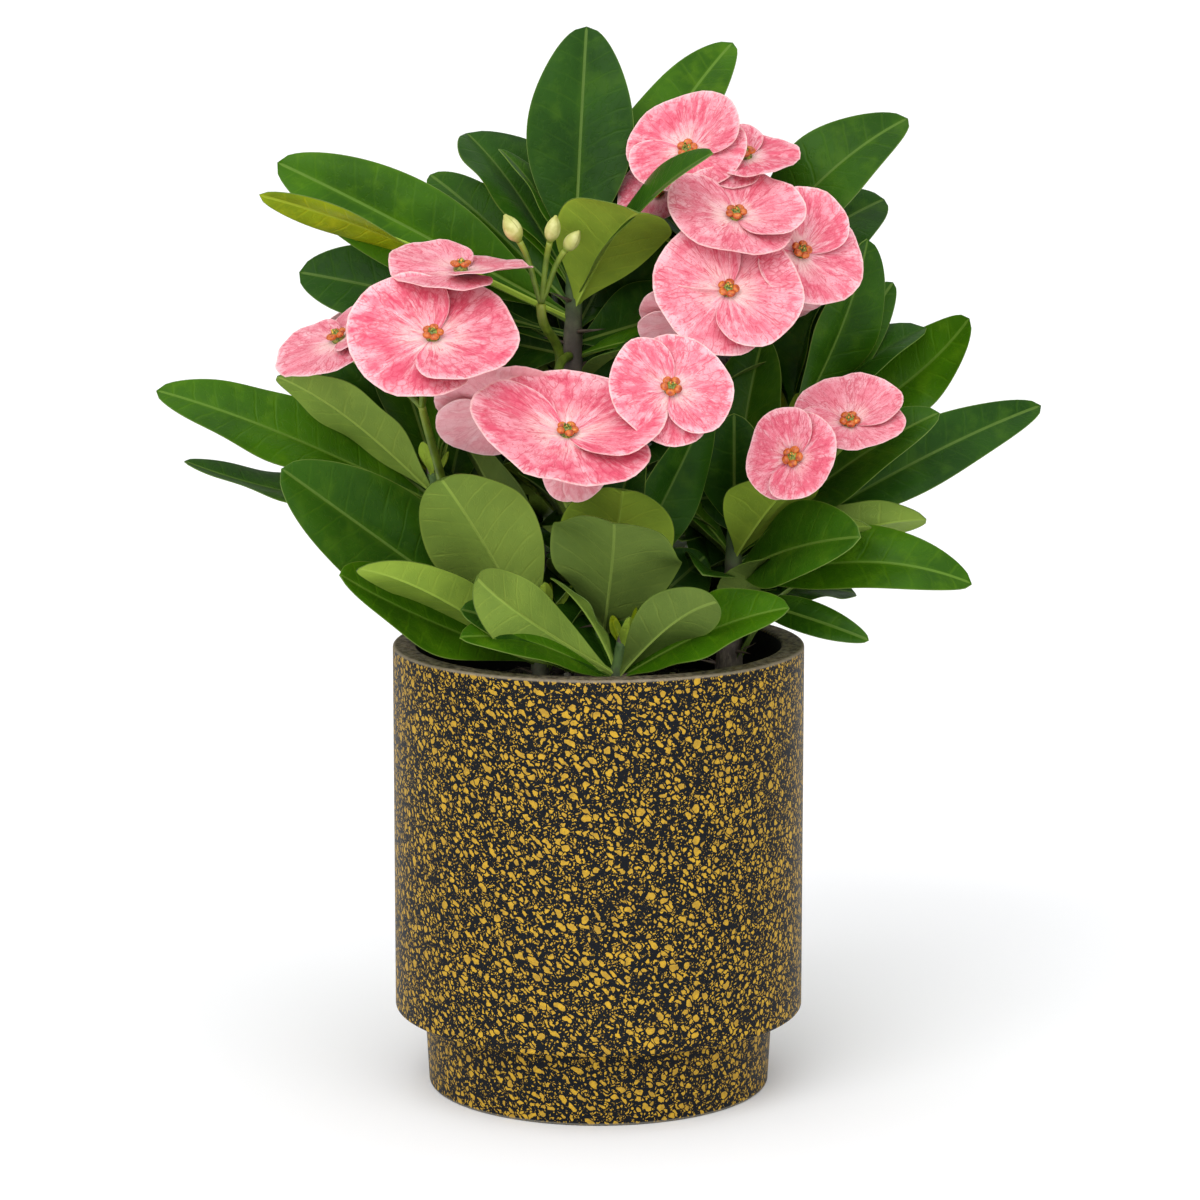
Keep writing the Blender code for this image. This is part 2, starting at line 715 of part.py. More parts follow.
def plan_blossom(twigs):
    blossom = []
    for name, mass, along, azimuth, fork, rows in SPRAYS:
        blossom.append((name, spray_meshes(twigs[mass][0], along, azimuth, fork, spray_flowers(rows))))
    return blossom


def twig_mesh(twig):
    points = [limb_point(twig, step / (TWIG_POINTS - 1)) for step in range(TWIG_POINTS)]
    return tube_mesh(points, taper(twig.root_radius, twig.tip_radius, TWIG_POINTS), 1)


def plan_leaves(twigs, taken):
    # The leaves that show come first, and then each twig's spiral fills what room is left
    leaves = {}
    for name, rows in MASSES:
        leaves[name] = []
        for twig, row in zip(twigs[name], rows):
            mesh = twig_mesh(twig)
            taken.append((name + " twig", surface(mesh)))
            bpy.data.meshes.remove(mesh)
            leaves[name].extend(leaf_to_tip(twig, *each) for each in row[4])
        taken.extend((f"{name} {index}", leaf_surface(leaf)) for index, leaf in enumerate(leaves[name]))
    for seed, (name, rows) in enumerate(MASSES):
        draw = random.Random(seed)
        for twig, row in zip(twigs[name], rows):
            for index in range(row[5]):
                for attempt in range(SPIRAL_ATTEMPTS):
                    leaf = spiral_leaf(twig, index, row[5], attempt, draw)
                    if fits(leaf, name, taken):
                        leaves[name].append(leaf)
                        taken.append((name + " rule", leaf_surface(leaf)))
                        break
    return leaves


def main():
    for thing in list(bpy.data.objects):
        bpy.data.objects.remove(thing)
    collection = bpy.data.collections.new("potted_crown_of_thorns")
    bpy.context.scene.collection.children.link(collection)
    taken = []
    for solid in (make_pot(collection), make_soil(collection)):
        bpy.context.view_layer.update()
        turned_mesh = solid.evaluated_get(bpy.context.evaluated_depsgraph_get()).data
        taken.append((solid.name, surface(turned_mesh)))
    twigs, tips = plan_twigs()
    make_limbs(collection, tips, taken)
    blossom = plan_blossom(twigs)
    for name, meshes in blossom:
        taken.extend((f"{name} {label}", surface(mesh)) for label, mesh in meshes)
    leaves = plan_leaves(twigs, taken)
    green = finish_material("leaf_green", (0.06, 0.17, 0.03), 0.5)
    pink = finish_material("pink_bracts", (0.86, 0.30, 0.38), 0.6)
    for name, mass in leaves.items():
        meshes = [twig_mesh(twig) for twig in twigs[name]] + [leaf_mesh(leaf) for leaf in mass]
        fuse(name, meshes, collection, green)
    for name, meshes in blossom:
        fuse(name, [mesh for label, mesh in meshes], collection, pink)


if __name__ == "__main__":
    main()
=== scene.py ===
# Looks for a potted crown of thorns: bark, thorns, veined leaves, pink bracts and a speckled planter,
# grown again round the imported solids. Metres, +Z up, and -Y is the front.
import math
import random
from collections import namedtuple

import bmesh
import bpy
from mathutils import Matrix, Vector, noise
from mathutils.kdtree import KDTree


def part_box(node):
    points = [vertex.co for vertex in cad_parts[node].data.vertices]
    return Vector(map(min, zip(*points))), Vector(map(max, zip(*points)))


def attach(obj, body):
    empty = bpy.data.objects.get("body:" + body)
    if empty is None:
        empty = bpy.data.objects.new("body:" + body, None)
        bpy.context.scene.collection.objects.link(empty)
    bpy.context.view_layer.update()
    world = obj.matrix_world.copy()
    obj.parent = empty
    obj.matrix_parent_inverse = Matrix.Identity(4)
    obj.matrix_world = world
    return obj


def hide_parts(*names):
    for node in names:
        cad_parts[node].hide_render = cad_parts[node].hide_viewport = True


bl_info = {
    "name": "Potted Crown of Thorns",
    "version": (1, 0, 0),
    "blender": (4, 5, 0),
    "location": "View3D > Sidebar > Plant",
    "description": "Dresses the packed solids of a potted crown of thorns",
    "category": "Add Mesh",
}

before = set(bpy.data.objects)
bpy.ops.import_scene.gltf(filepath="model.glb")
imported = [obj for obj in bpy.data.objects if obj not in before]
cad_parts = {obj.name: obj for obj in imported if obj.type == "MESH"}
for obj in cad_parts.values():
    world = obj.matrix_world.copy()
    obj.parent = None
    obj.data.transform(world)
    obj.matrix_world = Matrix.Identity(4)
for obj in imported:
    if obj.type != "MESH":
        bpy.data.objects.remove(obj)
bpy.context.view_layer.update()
POT_LOW, POT_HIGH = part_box("pot")
MIX_LOW, MIX_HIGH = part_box("potting_mix")

MM = 0.001
CM = 0.01
WELD = 0.000001
UP = Vector((0, 0, 1))

# Limbs, in the source's own sizes
GAP = 0.0003
BEND_REACH = 0.35
COLLAR = 0.0015
SUNK = 0.003
BARK_SIDES = 28
BARK_STEP = 0.0012

# The source's rule for leaves
LEAF_SHOULDER = 0.58
LEAF_ROOT_SWELL = 1.1
LEAF_TIP_SWELL = 0.55
LEAF_FOLD = 0.22
LEAF_BOW = 0.06
LEAF_BOW_AT_ROOT = 0.7
LEAF_BOW_TO_TIP = 0.6
LEAF_TWIST_DELAY = 1.5
LEAF_ROOT_HALF_WIDTH = 0.0012
STAND_FLAT = 0.25
STAND_RISE = 0.7
STAND_LOWEST = 0.12
STAND_HIGHEST = 0.92
GOLDEN_ANGLE = math.radians(137.5)
SPIRAL_ATTEMPTS = 5
SPIRAL_STRAY = 0.3
SPIRAL_FOOT = 0.1
SPIRAL_SPAN = 0.8
SPIRAL_LIFT = 10
SPIRAL_LIFT_RISE = 60
SPIRAL_LIFT_STRAY = 10
SPIRAL_LENGTH = 98
SPIRAL_LENGTH_DROP = 36
SPIRAL_LENGTH_STRAY = 8
SPIRAL_SHRINK = 0.13
SPIRAL_SLIM = 0.33
SPIRAL_BROAD = 0.42
SPIRAL_WIDEST = 0.036
SPIRAL_ROLL = 25
SPIRAL_BOW = (0.05, 0.11)
SAME_PLACE = 0.0002

# The finer blade: cells, the parts of a half blade in cells, and the relief of its two faces
LEAF_COLUMNS = 16
LEAF_ROWS = 36
YOUNG_COLUMNS = 8
YOUNG_ROWS = 14
CREASE_ROUND = 0.2
BULGE = 0.06
RIB_HALF_WIDTH = 0.00048
RIB_TAPER = 0.6
RIB_HEIGHT = 0.0010
RIM_WIDTH = 0.00018
BLADE_HALF_THICKNESS = 0.00024
TONES = ("deep", "plain", "fresh", "young")

# The source's rule for bracts, and the finer bract
BRACT_REACH = 0.50
BRACT_BREADTH = 1.12
BRACT_SPAN = math.radians(135)
BRACT_OVERLAP = 0.10
BRACT_COLUMNS = 44
BRACT_ROWS = 12
BRACT_HALF_THICKNESS = 0.00020
CUP_RADIUS = 0.0042
STALK_RADIUS = 0.0011

Leaf = namedtuple("Leaf", "root along face side length width bow twist shoulder")
Flower = namedtuple("Flower", "centre facing seam across width cup")
Limb = namedtuple("Limb", "root tip root_radius tip_radius")
Wave = namedtuple("Wave", "height count phase")

# The trunk: root and tip (mm), root and tip radius (mm). The leading bough goes on from its tip.
TRUNK = ((0, 5, 135.3), (-3, 6, 196), 8.0, 6.6)
BOUGH_TOP = (-9, 5, 244)
BOUGH_TOP_RADII = (5.6, 4.2)

# Boughs off the trunk: height and azimuth of the root (mm, degrees), tip (mm), root and tip radius (mm).
BOUGHS = (
    ("bough_top_right", 182, 20, (42, 22, 248), 4.2, 3.4),
    ("bough_upright", 160, 10, (62, 15, 200), 4.0, 3.2),
    ("bough_left", 156, 185, (-50, 1, 190), 4.2, 3.4),
    ("bough_back_left", 172, 135, (-42, 45, 212), 4.0, 3.2),
    ("bough_back_right", 168, 55, (36, 55, 204), 4.0, 3.2),
)

# Side stems out of the potting mix: root x, y, tip (mm), root and tip radius (mm).
STEMS = (
    ("stem_right", (44, -3), (45, -5, 166), 5.0, 4.2),
    ("stem_back", (0, 38), (0, 50, 160), 4.6, 3.8),
)

# Leaf masses, as in the source. Each leaf that shows from the front has its green, its tip x, y, z (mm),
# width (mm), roll (degrees), and where they differ bow, twist (degrees) and shoulder. The last number
# says how many more leaves the spiral rule offers to the twig.
MASSES = (
    ("leaves_top", (
        ("bough_top", (-8, 4, 286), 3.6, 2.4, (
            ("deep", -4, 22, 360, 36, 10, 0.03, 0, 0.54),
            ("deep", -45, 25, 324, 40, -10, 0.05, 0, 0.70),
            ("fresh", 46, 42, 354, 28, 35, 0.07),
            ("fresh", -108, 10, 315, 32, -70, 0.04),
            ("young", -112, -16, 306, 18, 165, -0.03, -80),
            ("young", 13, -44, 302, 38, -20, 0.10),
            ("plain", 37, -42, 321, 26, 40, 0.06),
            ("deep", -102, 22, 277, 28, -60, 0.03, 0, 0.70),
            ("plain", -58, 40, 309, 22, -40, 0.05),
            ("deep", 34, 26, 264, 28, 60, 0.04),
            ("deep", -44, 30, 254, 30, -60, 0.04),
        ), 14),
    )),
    ("leaves_top_right", (
        ("bough_top_right", (46, 27, 286), 3.2, 2.2, (
            ("plain", 105, 25, 329, 31, 53, 0.11),
            ("deep", 99, 48, 300, 32, 42, 0.06),
        ), 14),
    )),
    ("leaves_upright", (
        ("bough_upright", (66, 16, 228), 3.0, 2.2, (
            ("plain", 90, 2, 290, 30, 160, 0.05),
            ("fresh", 126, 15, 262, 27, 60, -0.16),
            ("plain", 101, 30, 273, 18, 60, 0.05),
            ("deep", 34, 2, 202, 28, -75, 0.03),
        ), 12),
    )),
    ("leaves_right", (
        ("stem_right", (46, -6, 197), 3.6, 2.4, (
            ("deep", 152, 25, 231, 23, 55, 0.07),
            ("plain", 114, -12, 233, 28, 44, 0.06),
            ("fresh", 124, -30, 178, 27, 45, 0.15),
            ("plain", 109, -25, 199, 25, -45, 0.06),
            ("plain", 89, -40, 199, 22, -30, 0.06),
            ("plain", 85, -58, 198, 31, 60, 0.06),
            ("young", 67, -45, 216, 31, -9, 0.05),
            ("plain", 56, 10, 256, 30, 0, 0.05),
            ("deep", 45, -22, 234, 24, 180, 0.04),
            ("plain", 90, -30, 159, 12, 60, 0.06),
            ("deep", 88, 10, 168, 24, 20, 0.05),
        ), 8),
    )),
    ("leaves_front", (
        ((2, -22), (1, -25, 173), 3.6, 2.4, (
            ("deep", 5, -80, 206, 44, -15, 0.06),
            # Painted light: this leaf takes the paler young green to make up for the shade that the blossom above
            # casts on it.
            ("young", 8, -60, 214, 38, -15, 0.06),
            ("deep", 14, -28, 226, 28, 60, 0.05),
            ("deep", 29, 8, 224, 26, 10, 0.05),
            ("plain", 46, -45, 171, 20, -30, 0.06),
            ("deep", 36, -32, 238, 24, 138, 0.01),
            ("deep", 36, -8, 184, 26, 70, 0.03),
        ), 5),
        ((4, -34), (8, -38, 160), 2.8, 2.2, (
            ("plain", -39, -78, 188, 24, 90, 0.08),
            ("deep", 38, -77, 180, 22, -15, 0.06, 60),
            ("deep", -45, -57, 174, 24, -50, 0.06),
            ("fresh", -45, -64, 166, 24, -35, 0.10),
            ("fresh", 62, -60, 175, 28, 40, 0.06),
        ), 4),
    )),
    ("leaves_mid_left", (
        ((-20, -18), (-19, -20, 166), 3.6, 2.4, (
            ("plain", -51, -56, 217, 38, 40, 0.05),
            ("plain", -104, -40, 218, 38, -75, 0.0),
            ("deep", -54, -12, 210, 29, -60, 0.03),
            ("fresh", -84, -60, 186, 33, -45, -0.03),
            ("fresh", -77, -72, 190, 22, 35, 0.06),
            ("deep", -47, 2, 224, 30, 60, 0.05),
        ), 5),
    )),
    ("leaves_left", (
        ("bough_left", (-56, -3, 212), 3.2, 2.2, (
            ("fresh", -149, 0, 239, 28, -45, 0.04),
            ("plain", -140, 0, 215, 22, -15, -0.04),
            ("plain", -106, -27, 247, 24, 35, 0.06),
            ("deep", -94, 20, 226, 28, -60, 0.04),
        ), 12),
    )),
    ("leaves_back_left", (
        ("bough_back_left", (-46, 50, 238), 3.0, 2.2, (
            ("deep", -36, 48, 304, 30, 90, 0.05),
        ), 20),
    )),
    ("leaves_back_right", (
        ("bough_back_right", (40, 61, 232), 3.0, 2.2, (), 20),
    )),
    ("leaves_back", (
        ("stem_back", (0, 56, 186), 3.2, 2.2, (
            ("deep", -33, 8, 160, 28, 10, 0.04),
        ), 22),
    )),
)

# The short leaves inside the crown end behind this plane, so none comes out through a leaf that shows.
INNER_FRONT = -0.036

# Leaves that close small gaps inside the crown: root and tip (mm), width (mm) and roll (degrees).
FILLERS = (
    ((-8, 18, 240), (-28, 34, 297), 24, 17),
    ((-9, 16, 226), (-20, 40, 272), 26, 17),
    ((-4, 14, 222), (24, 32, 262), 24, 17),
    ((42, 2, 144), (30, 22, 206), 30, 17),
    ((44, 6, 148), (46, 26, 200), 28, 17),
    ((45, 2, 144), (56, 16, 186), 24, 17),
    ((-50, 8, 208), (-92, 14, 252), 32, -70),
    ((66, 14, 230), (76, 26, 278), 26, 17),
    ((68, 14, 226), (112, 22, 258), 30, 17),
    ((-8, 16, 244), (32, 34, 299), 24, 70),
    ((-3, 10, 216), (-1, 28, 266), 24, 10),
    ((-30, 6, 178), (-52, 30, 224), 22, -20),
)

# Blossom, as in the source. Each spray names the mass whose twig bears it, how far along that twig and at
# which azimuth its stalk comes out, its fork (mm), and its flowers: centre x, y, z (mm), width (mm),
# azimuth and lift of the way it faces, turn of its seam (degrees), and how far its bracts cup.
SPRAYS = (
    ("blossom_left", "leaves_left", 0.75, -75, (-58, -34, 238), (
        (-53, -62, 263, 57, -92, 56, 104, 0.08),
        (-45, -34, 282, 49, -85, 82, 100, 0.10),
        (-85, -30, 259, 46, -150, 58, 0, 0.08),
    )),
    ("blossom_middle", "leaves_top", 0.15, -110, (-12, -48, 230), (
        (-10, -80, 234, 60, -82, 60, -35, 0.22),
        (23, -76, 248, 40, -85, 38, 115, 0.08),
        (-32, -52, 238, 42, 100, 38, 0, 0.10),
        (-8, -57, 221, 23, 80, -15, 90, 0.10),
    )),
    ("blossom_top_right", "leaves_top_right", 0.55, -100, (42, -6, 282), (
        (42, -42, 276, 50, -85, 40, 100, 0.12),
        (66, -22, 287, 45, -65, 35, 30, 0.15),
        (45, -25, 299, 45, -85, 55, -40, 0.20),
        (30, 0, 319, 40, -105, 35, 20, 0.30),
        (49, 0, 317, 38, -100, 66, 95, 0.05),
        (62, -14, 270, 30, 110, 50, 0, 0.10),
        (20, 4, 305, 28, -110, 40, 60, 0.15),
        (30, -34, 266, 34, 100, 45, 0, 0.10),
    )),
    ("blossom_low_right", "leaves_right", 0.95, -20, (70, -18, 212), (
        (64, -45, 222, 31, -110, 22, 80, 0.34),
        (83, -28, 231, 36, -95, 52, 10, 0.35),
    )),
    ("blossom_back_left", "leaves_back_left", 0.80, 130, (-60, 72, 236), (
        (-56, 100, 240, 52, 108, 30, 80, 0.10),
        (-84, 78, 246, 44, 140, 40, 20, 0.14),
        (-36, 86, 262, 44, 95, 50, 10, 0.12),
    )),
    ("blossom_back_right", "leaves_back_right", 0.80, 60, (52, 76, 250), (
        (46, 98, 252, 54, 82, 40, 100, 0.10),
        (84, 74, 258, 46, 30, 45, 30, 0.14),
        (58, 66, 280, 42, 60, 72, 60, 0.12),
    )),
    ("blossom_back_top", "leaves_top", 0.60, 95, (0, 36, 290), (
        (-4, 60, 304, 46, 95, 40, 20, 0.10),
        (18, 60, 294, 38, 75, 36, 95, 0.14),
    )),
)

# Buds: where their stalks fork off a twig (mm), and each bud's foot, length and radius (mm).
BUDS = (
    ((-19, -18, 270), (
        ((-26, -22, 291), 10.5, 3.0),
        ((-16, -24, 291), 10.0, 2.6),
        ((-11, -22, 288), 8.5, 2.5),
    )),
)


# Shader values and materials


class Value:
    """A shader value that plain arithmetic can be written with."""

    def __init__(self, finish, socket):
        self.finish = finish
        self.socket = socket

    def math(self, operation, *parts):
        sockets = dict(enumerate(parts))
        return self.finish.value("ShaderNodeMath", {"operation": operation}, sockets)

    def __add__(self, other):
        return self.math("ADD", self, other)

    def __sub__(self, other):
        return self.math("SUBTRACT", self, other)

    def __rsub__(self, other):
        return self.math("SUBTRACT", other, self)

    def __mul__(self, other):
        return self.math("MULTIPLY", self, other)

    def __truediv__(self, other):
        return self.math("DIVIDE", self, other)

    def __pow__(self, other):
        return self.math("POWER", self, other)

    def __gt__(self, other):
        return self.math("GREATER_THAN", self, other)

    def __abs__(self):
        return self.math("ABSOLUTE", self)

    __radd__ = __add__
    __rmul__ = __mul__

    def most(self, other):
        return self.math("MAXIMUM", self, other)

    def least(self, other):
        return self.math("MINIMUM", self, other)

    def fraction(self):
        return self.math("FRACT", self)

    def rise(self, low, high):
        """Goes smoothly from 0 to 1 while the value goes from low to high."""
        settings = {"interpolation_type": "SMOOTHSTEP"}
        return self.finish.value("ShaderNodeMapRange", settings, {0: self, 1: low, 2: high, 3: 0.0, 4: 1.0})

    def fall(self, low, high):
        """Goes smoothly from 1 to 0 while the value goes from low to high."""
        return 1 - self.rise(low, high)


class Finish:
    """One material, built round a Principled shader."""

    def __init__(self, name, **constants):
        self.material = bpy.data.materials.new(name)
        self.material.use_nodes = True
        self.tree = self.material.node_tree
        self.shader = self.tree.nodes["Principled BSDF"]
        for socket, value in constants.items():
            self.shader.inputs[socket.replace("_", " ")].default_value = value

    def node(self, kind, settings=None, sockets=None, output=0):
        made = self.tree.nodes.new(kind)
        for key, value in (settings or {}).items():
            setattr(made, key, value)
        for key, value in (sockets or {}).items():
            slot = made.inputs[key]
            if isinstance(value, Value):
                self.tree.links.new(value.socket, slot)
            elif isinstance(value, bpy.types.NodeSocket):
                self.tree.links.new(value, slot)
            elif slot.type == "RGBA":
                slot.default_value = (*value, 1.0)
            else:
                slot.default_value = value
        return made.outputs[output]

    def value(self, kind, settings=None, sockets=None, output=0):
        return Value(self, self.node(kind, settings, sockets, output))

    def place(self):
        """Where a point is on the object, which is where it is in the part."""
        return self.node("ShaderNodeTexCoord", output="Object")

    def parts(self, vector):
        split = self.node("ShaderNodeSeparateXYZ", None, {0: vector}).node
        return [Value(self, split.outputs[axis]) for axis in range(3)]

    def attribute(self, name):
        return self.parts(self.node("ShaderNodeAttribute", {"attribute_name": name}, None, "Vector"))

    def vector(self, x, y, z):
        return self.node("ShaderNodeCombineXYZ", None, {0: x, 1: y, 2: z})

    def turned(self, vector, turn, stretch):
        turned = self.node("ShaderNodeMapping", None, {"Vector": vector, "Rotation": turn})
        return self.node("ShaderNodeVectorMath", {"operation": "MULTIPLY"}, {0: turned, 1: stretch})

    def strayed(self, vector, scale, reach):
        """The same place, moved about by a soft noise."""
        stray = self.node("ShaderNodeTexNoise", None, {"Vector": vector, "Scale": scale, "Detail": 2.0}, 1)
        stray = self.node("ShaderNodeVectorMath", {"operation": "SUBTRACT"}, {0: stray, 1: (0.5, 0.5, 0.5)})
        stray = self.node("ShaderNodeVectorMath", {"operation": "MULTIPLY"}, {0: stray, 1: (reach, reach, reach)})
        return self.node("ShaderNodeVectorMath", {"operation": "ADD"}, {0: vector, 1: stray})

    def noise(self, scale, detail=3.0, vector=None, roughness=0.5):
        sockets = {"Vector": vector or self.place(), "Scale": scale, "Detail": detail, "Roughness": roughness}
        return self.value("ShaderNodeTexNoise", None, sockets)

    def scatter(self, scale, vector):
        """How far a point is from the nearest of some scattered points, and that point's random numbers."""
        distance = self.node("ShaderNodeTexVoronoi", {"feature": "F1"}, {"Vector": vector, "Scale": scale}, "Distance")
        return Value(self, distance), self.parts(distance.node.outputs["Color"])

    def edges(self, scale, vector):
        """How far a point is from the border between the two nearest of the same scattered points."""
        settings = {"feature": "DISTANCE_TO_EDGE"}
        return self.value("ShaderNodeTexVoronoi", settings, {"Vector": vector, "Scale": scale})

    def ridges(self, scale, vector, width):
        """Thin winding lines, which branch and close on each other."""
        height = self.noise(scale, 2.0, vector, 0.5)
        return abs(height - 0.5).fall(0.0, width)

    def mix(self, share, first, second):
        settings = {"data_type": "RGBA"}
        return self.node("ShaderNodeMix", settings, {0: share, 6: first, 7: second}, 2)

    def feed(self, name, source):
        socket = source.socket if isinstance(source, Value) else source
        self.tree.links.new(socket, self.shader.inputs[name])

    def bump(self, height, reach, strength=1.0):
        sockets = {"Height": height, "Distance": reach, "Strength": strength}
        self.feed("Normal", self.node("ShaderNodeBump", None, sockets, "Normal"))


def once(make):
    """Makes a material the first time it is asked for, and finds it again later."""
    made = {}

    def find(*words):
        if words not in made:
            made[words] = make(*words)
        return made[words]

    return find


def looks():
    return bpy.context.scene.plant_looks


# Blade finishes read the attribute "blade": share across, distance from the midrib and from the root (cm).


def side_veins(finish):
    """Fine lines that leave the midrib at a steep angle and bend up towards the margin."""
    across, off_rib, along = finish.attribute("blade")
    stray = finish.noise(70.0, 3.0)
    climb = along - 0.62 * abs(off_rib) + 0.10 * abs(off_rib) * abs(off_rib) + 0.42 * stray
    gap = abs((climb / (looks().vein_spacing / CM)).fraction() - 0.5) * 2
    net = finish.ridges(2.4, finish.vector(off_rib, climb, 0.0), 0.030)
    shown = finish.noise(60.0, 2.0).rise(0.34, 0.62)
    vein = gap.fall(0.0, 0.20) * (0.35 + 0.65 * shown)
    return vein.most(net * 0.45) * abs(across).fall(0.80, 1.0), abs(across), along


@once
def upper_face(tone):
    base = tuple(getattr(looks(), tone + "_green"))
    finish = Finish(f"leaf_{tone}", Roughness=0.4)
    finish.shader.inputs["Specular IOR Level"].default_value = 0.09
    vein, across, along = side_veins(finish)
    cloud = finish.noise(38.0, 3.0)
    patch = finish.noise(130.0, 3.0)
    dim = (base[0] * 0.55, base[1] * 0.62, base[2] * 0.75)
    light = (base[0] * 1.8 + 0.010, base[1] * 1.4 + 0.014, base[2] * 1.3 + 0.001)
    colour = finish.mix(cloud.rise(0.30, 0.66), dim, base)
    colour = finish.mix(patch.rise(0.48, 0.74) * 0.42, colour, light)
    colour = finish.mix(vein * 0.26, colour, light)
    colour = finish.mix(across.fall(0.0, 0.16) * 0.3, colour, light)
    colour = finish.mix(across.rise(0.90, 1.0) * 0.25, colour, light)
    finish.feed("Base Color", colour)
    finish.feed("Roughness", 0.30 + 0.20 * patch)
    relief = finish.noise(110.0, 2.0) * 2.2 + finish.noise(520.0, 2.0) * 0.22 - vein * 0.5
    finish.bump(relief, 0.0003, 0.8)
    return finish.material


@once
def lower_face(tone):
    base = tuple(getattr(looks(), tone + "_underside"))
    finish = Finish(f"underside_{tone}", Roughness=0.6)
    finish.shader.inputs["Specular IOR Level"].default_value = 0.1
    vein, across, along = side_veins(finish)
    cloud = finish.noise(50.0, 4.0)
    dim = (base[0] * 0.74, base[1] * 0.78, base[2] * 0.8)
    light = (base[0] * 1.3 + 0.02, base[1] * 1.18 + 0.02, base[2] * 1.2)
    colour = finish.mix(cloud.rise(0.3, 0.7), dim, base)
    colour = finish.mix(vein * 0.32, colour, light)
    colour = finish.mix(across.rise(0.93, 1.0) * 0.4, colour, light)
    finish.feed("Base Color", colour)
    finish.feed("Roughness", 0.50 + 0.16 * finish.noise(160.0, 2.0))
    finish.bump(finish.noise(120.0, 2.0) * 1.4 + finish.noise(500.0, 2.0) * 0.25 + vein * 0.6, 0.0003, 0.6)
    return finish.material


@once
def rib_finish(side, tone):
    finish = Finish(f"rib_{side}_{tone}", Roughness=0.5)
    finish.shader.inputs["Specular IOR Level"].default_value = 0.15
    across, off_rib, along = finish.attribute("blade")
    blade = getattr(looks(), f"{tone}_green" if side == "upper" else f"{tone}_underside")
    share = 0.42 if side == "upper" else 0.55
    pale = tuple(share * rib + 0.8 * part for rib, part in zip(looks().rib, blade))
    dim = tuple(0.3 * share * rib + 0.95 * part for rib, part in zip(looks().rib, blade))
    colour = finish.mix(along.fall(0.6, 4.5) * 0.7 + 0.3 * finish.noise(300.0), dim, pale)
    finish.feed("Base Color", colour)
    finish.bump(finish.noise(700.0), 0.0001, 0.4)
    return finish.material


@once
def rim_finish():
    finish = Finish("leaf_rim", Roughness=0.5)
    finish.shader.inputs["Specular IOR Level"].default_value = 0.25
    finish.feed("Base Color", finish.mix(finish.noise(150.0), (0.050, 0.095, 0.012), (0.150, 0.240, 0.030)))
    return finish.material


# Bract finishes read the attribute "petal": angle round the flower's centre, share of the way out,
# and a number that is different on each bract.


def bract_veins(finish):
    """Veins that fan out from the flower's centre, and finer ones between them."""
    angle, out, number = finish.attribute("petal")
    fan = finish.strayed(finish.vector(angle * 3.0, out * 0.9, number * 3.7), 1.3, 0.45)
    fine = finish.strayed(finish.vector(angle * 6.5, out * 4.0, number * 8.3), 2.0, 0.45)
    hair = finish.strayed(finish.vector(angle * 15.0, out * 9.0, number * 5.9), 2.4, 0.45)
    mesh = finish.strayed(finish.vector(angle * 6.5, out * 6.0, number * 4.1), 1.6, 0.5)
    shown = finish.noise(1.2, 2.0, finish.vector(angle * 1.5, out * 2.0, number * 6.7)).rise(0.42, 0.60)
    main = finish.ridges(1.7, fan, 0.024)
    lines = main.most(finish.ridges(1.8, fine, 0.032) * 0.85)
    lines = lines.most(finish.ridges(1.8, hair, 0.040) * 0.35)
    lines = lines.most(finish.edges(1.0, mesh).fall(0.0, 0.12) * shown * out.rise(0.30, 0.60) * 0.8)
    return main, lines * out.rise(0.04, 0.30), angle, out, number


@once
def bract_face(side):
    pink = tuple(looks().pink)
    pale = tuple(looks().pale_pink)
    cream = tuple(looks().cream)
    deep = tuple(looks().vein_pink)
    finish = Finish(f"bract_{side}", Roughness=0.55)
    finish.shader.inputs["Specular IOR Level"].default_value = 0.2
    main, veins, angle, out, number = bract_veins(finish)
    flower = finish.value("ShaderNodeMath", {"operation": "FLOOR"}, {0: (number + 1) / 2})
    faded = finish.value("ShaderNodeTexWhiteNoise", {"noise_dimensions": "1D"}, {"W": flower})
    blotch = finish.noise(1.5, 4.0, finish.vector(angle * 1.3, out * 1.6, number * 5.1), 0.6)
    flame = finish.strayed(finish.vector(angle * 4.2, out * 1.5, number * 2.3), 1.5, 0.6)
    streak = finish.noise(1.6, 4.0, flame, 0.62)
    wash = finish.noise(110.0, 3.0, None, 0.55)
    middle = out.rise(0.10, 0.50) * out.fall(0.80, 1.0)
    colour = finish.mix((0.5 * streak + 0.4 * blotch + 0.10 * middle).rise(0.40, 0.57), pale, pink)
    colour = finish.mix(blotch.rise(0.50, 0.64) * 0.58, colour, pale)
    colour = finish.mix(wash.rise(0.46, 0.70) * 0.34, colour, pale)
    colour = finish.mix(streak.rise(0.54, 0.74) * 0.3, colour, deep)
    colour = finish.mix(faded * faded * 0.45, colour, pale)
    heart = out.fall(0.06, 0.56) * (0.6 * blotch + 0.6 * wash).rise(0.50, 0.66)
    colour = finish.mix(heart * 0.85, colour, cream)
    colour = finish.mix(veins * (0.68 if side == "upper" else 0.36), colour, deep)
    nick = finish.noise(330.0, 2.0, None, 0.5).rise(0.70, 0.78)
    colour = finish.mix(nick * 0.4, colour, deep)
    colour = finish.mix(out.rise(0.965, 0.99) * 0.45, colour, cream)
    if side == "lower":
        colour = finish.mix(0.2, colour, cream)
    finish.feed("Base Color", colour)
    finish.feed("Roughness", 0.45 + 0.2 * wash)
    finish.bump(finish.noise(240.0, 3.0) * 0.5 - main * 0.6, 0.0002, 0.6)
    return finish.material


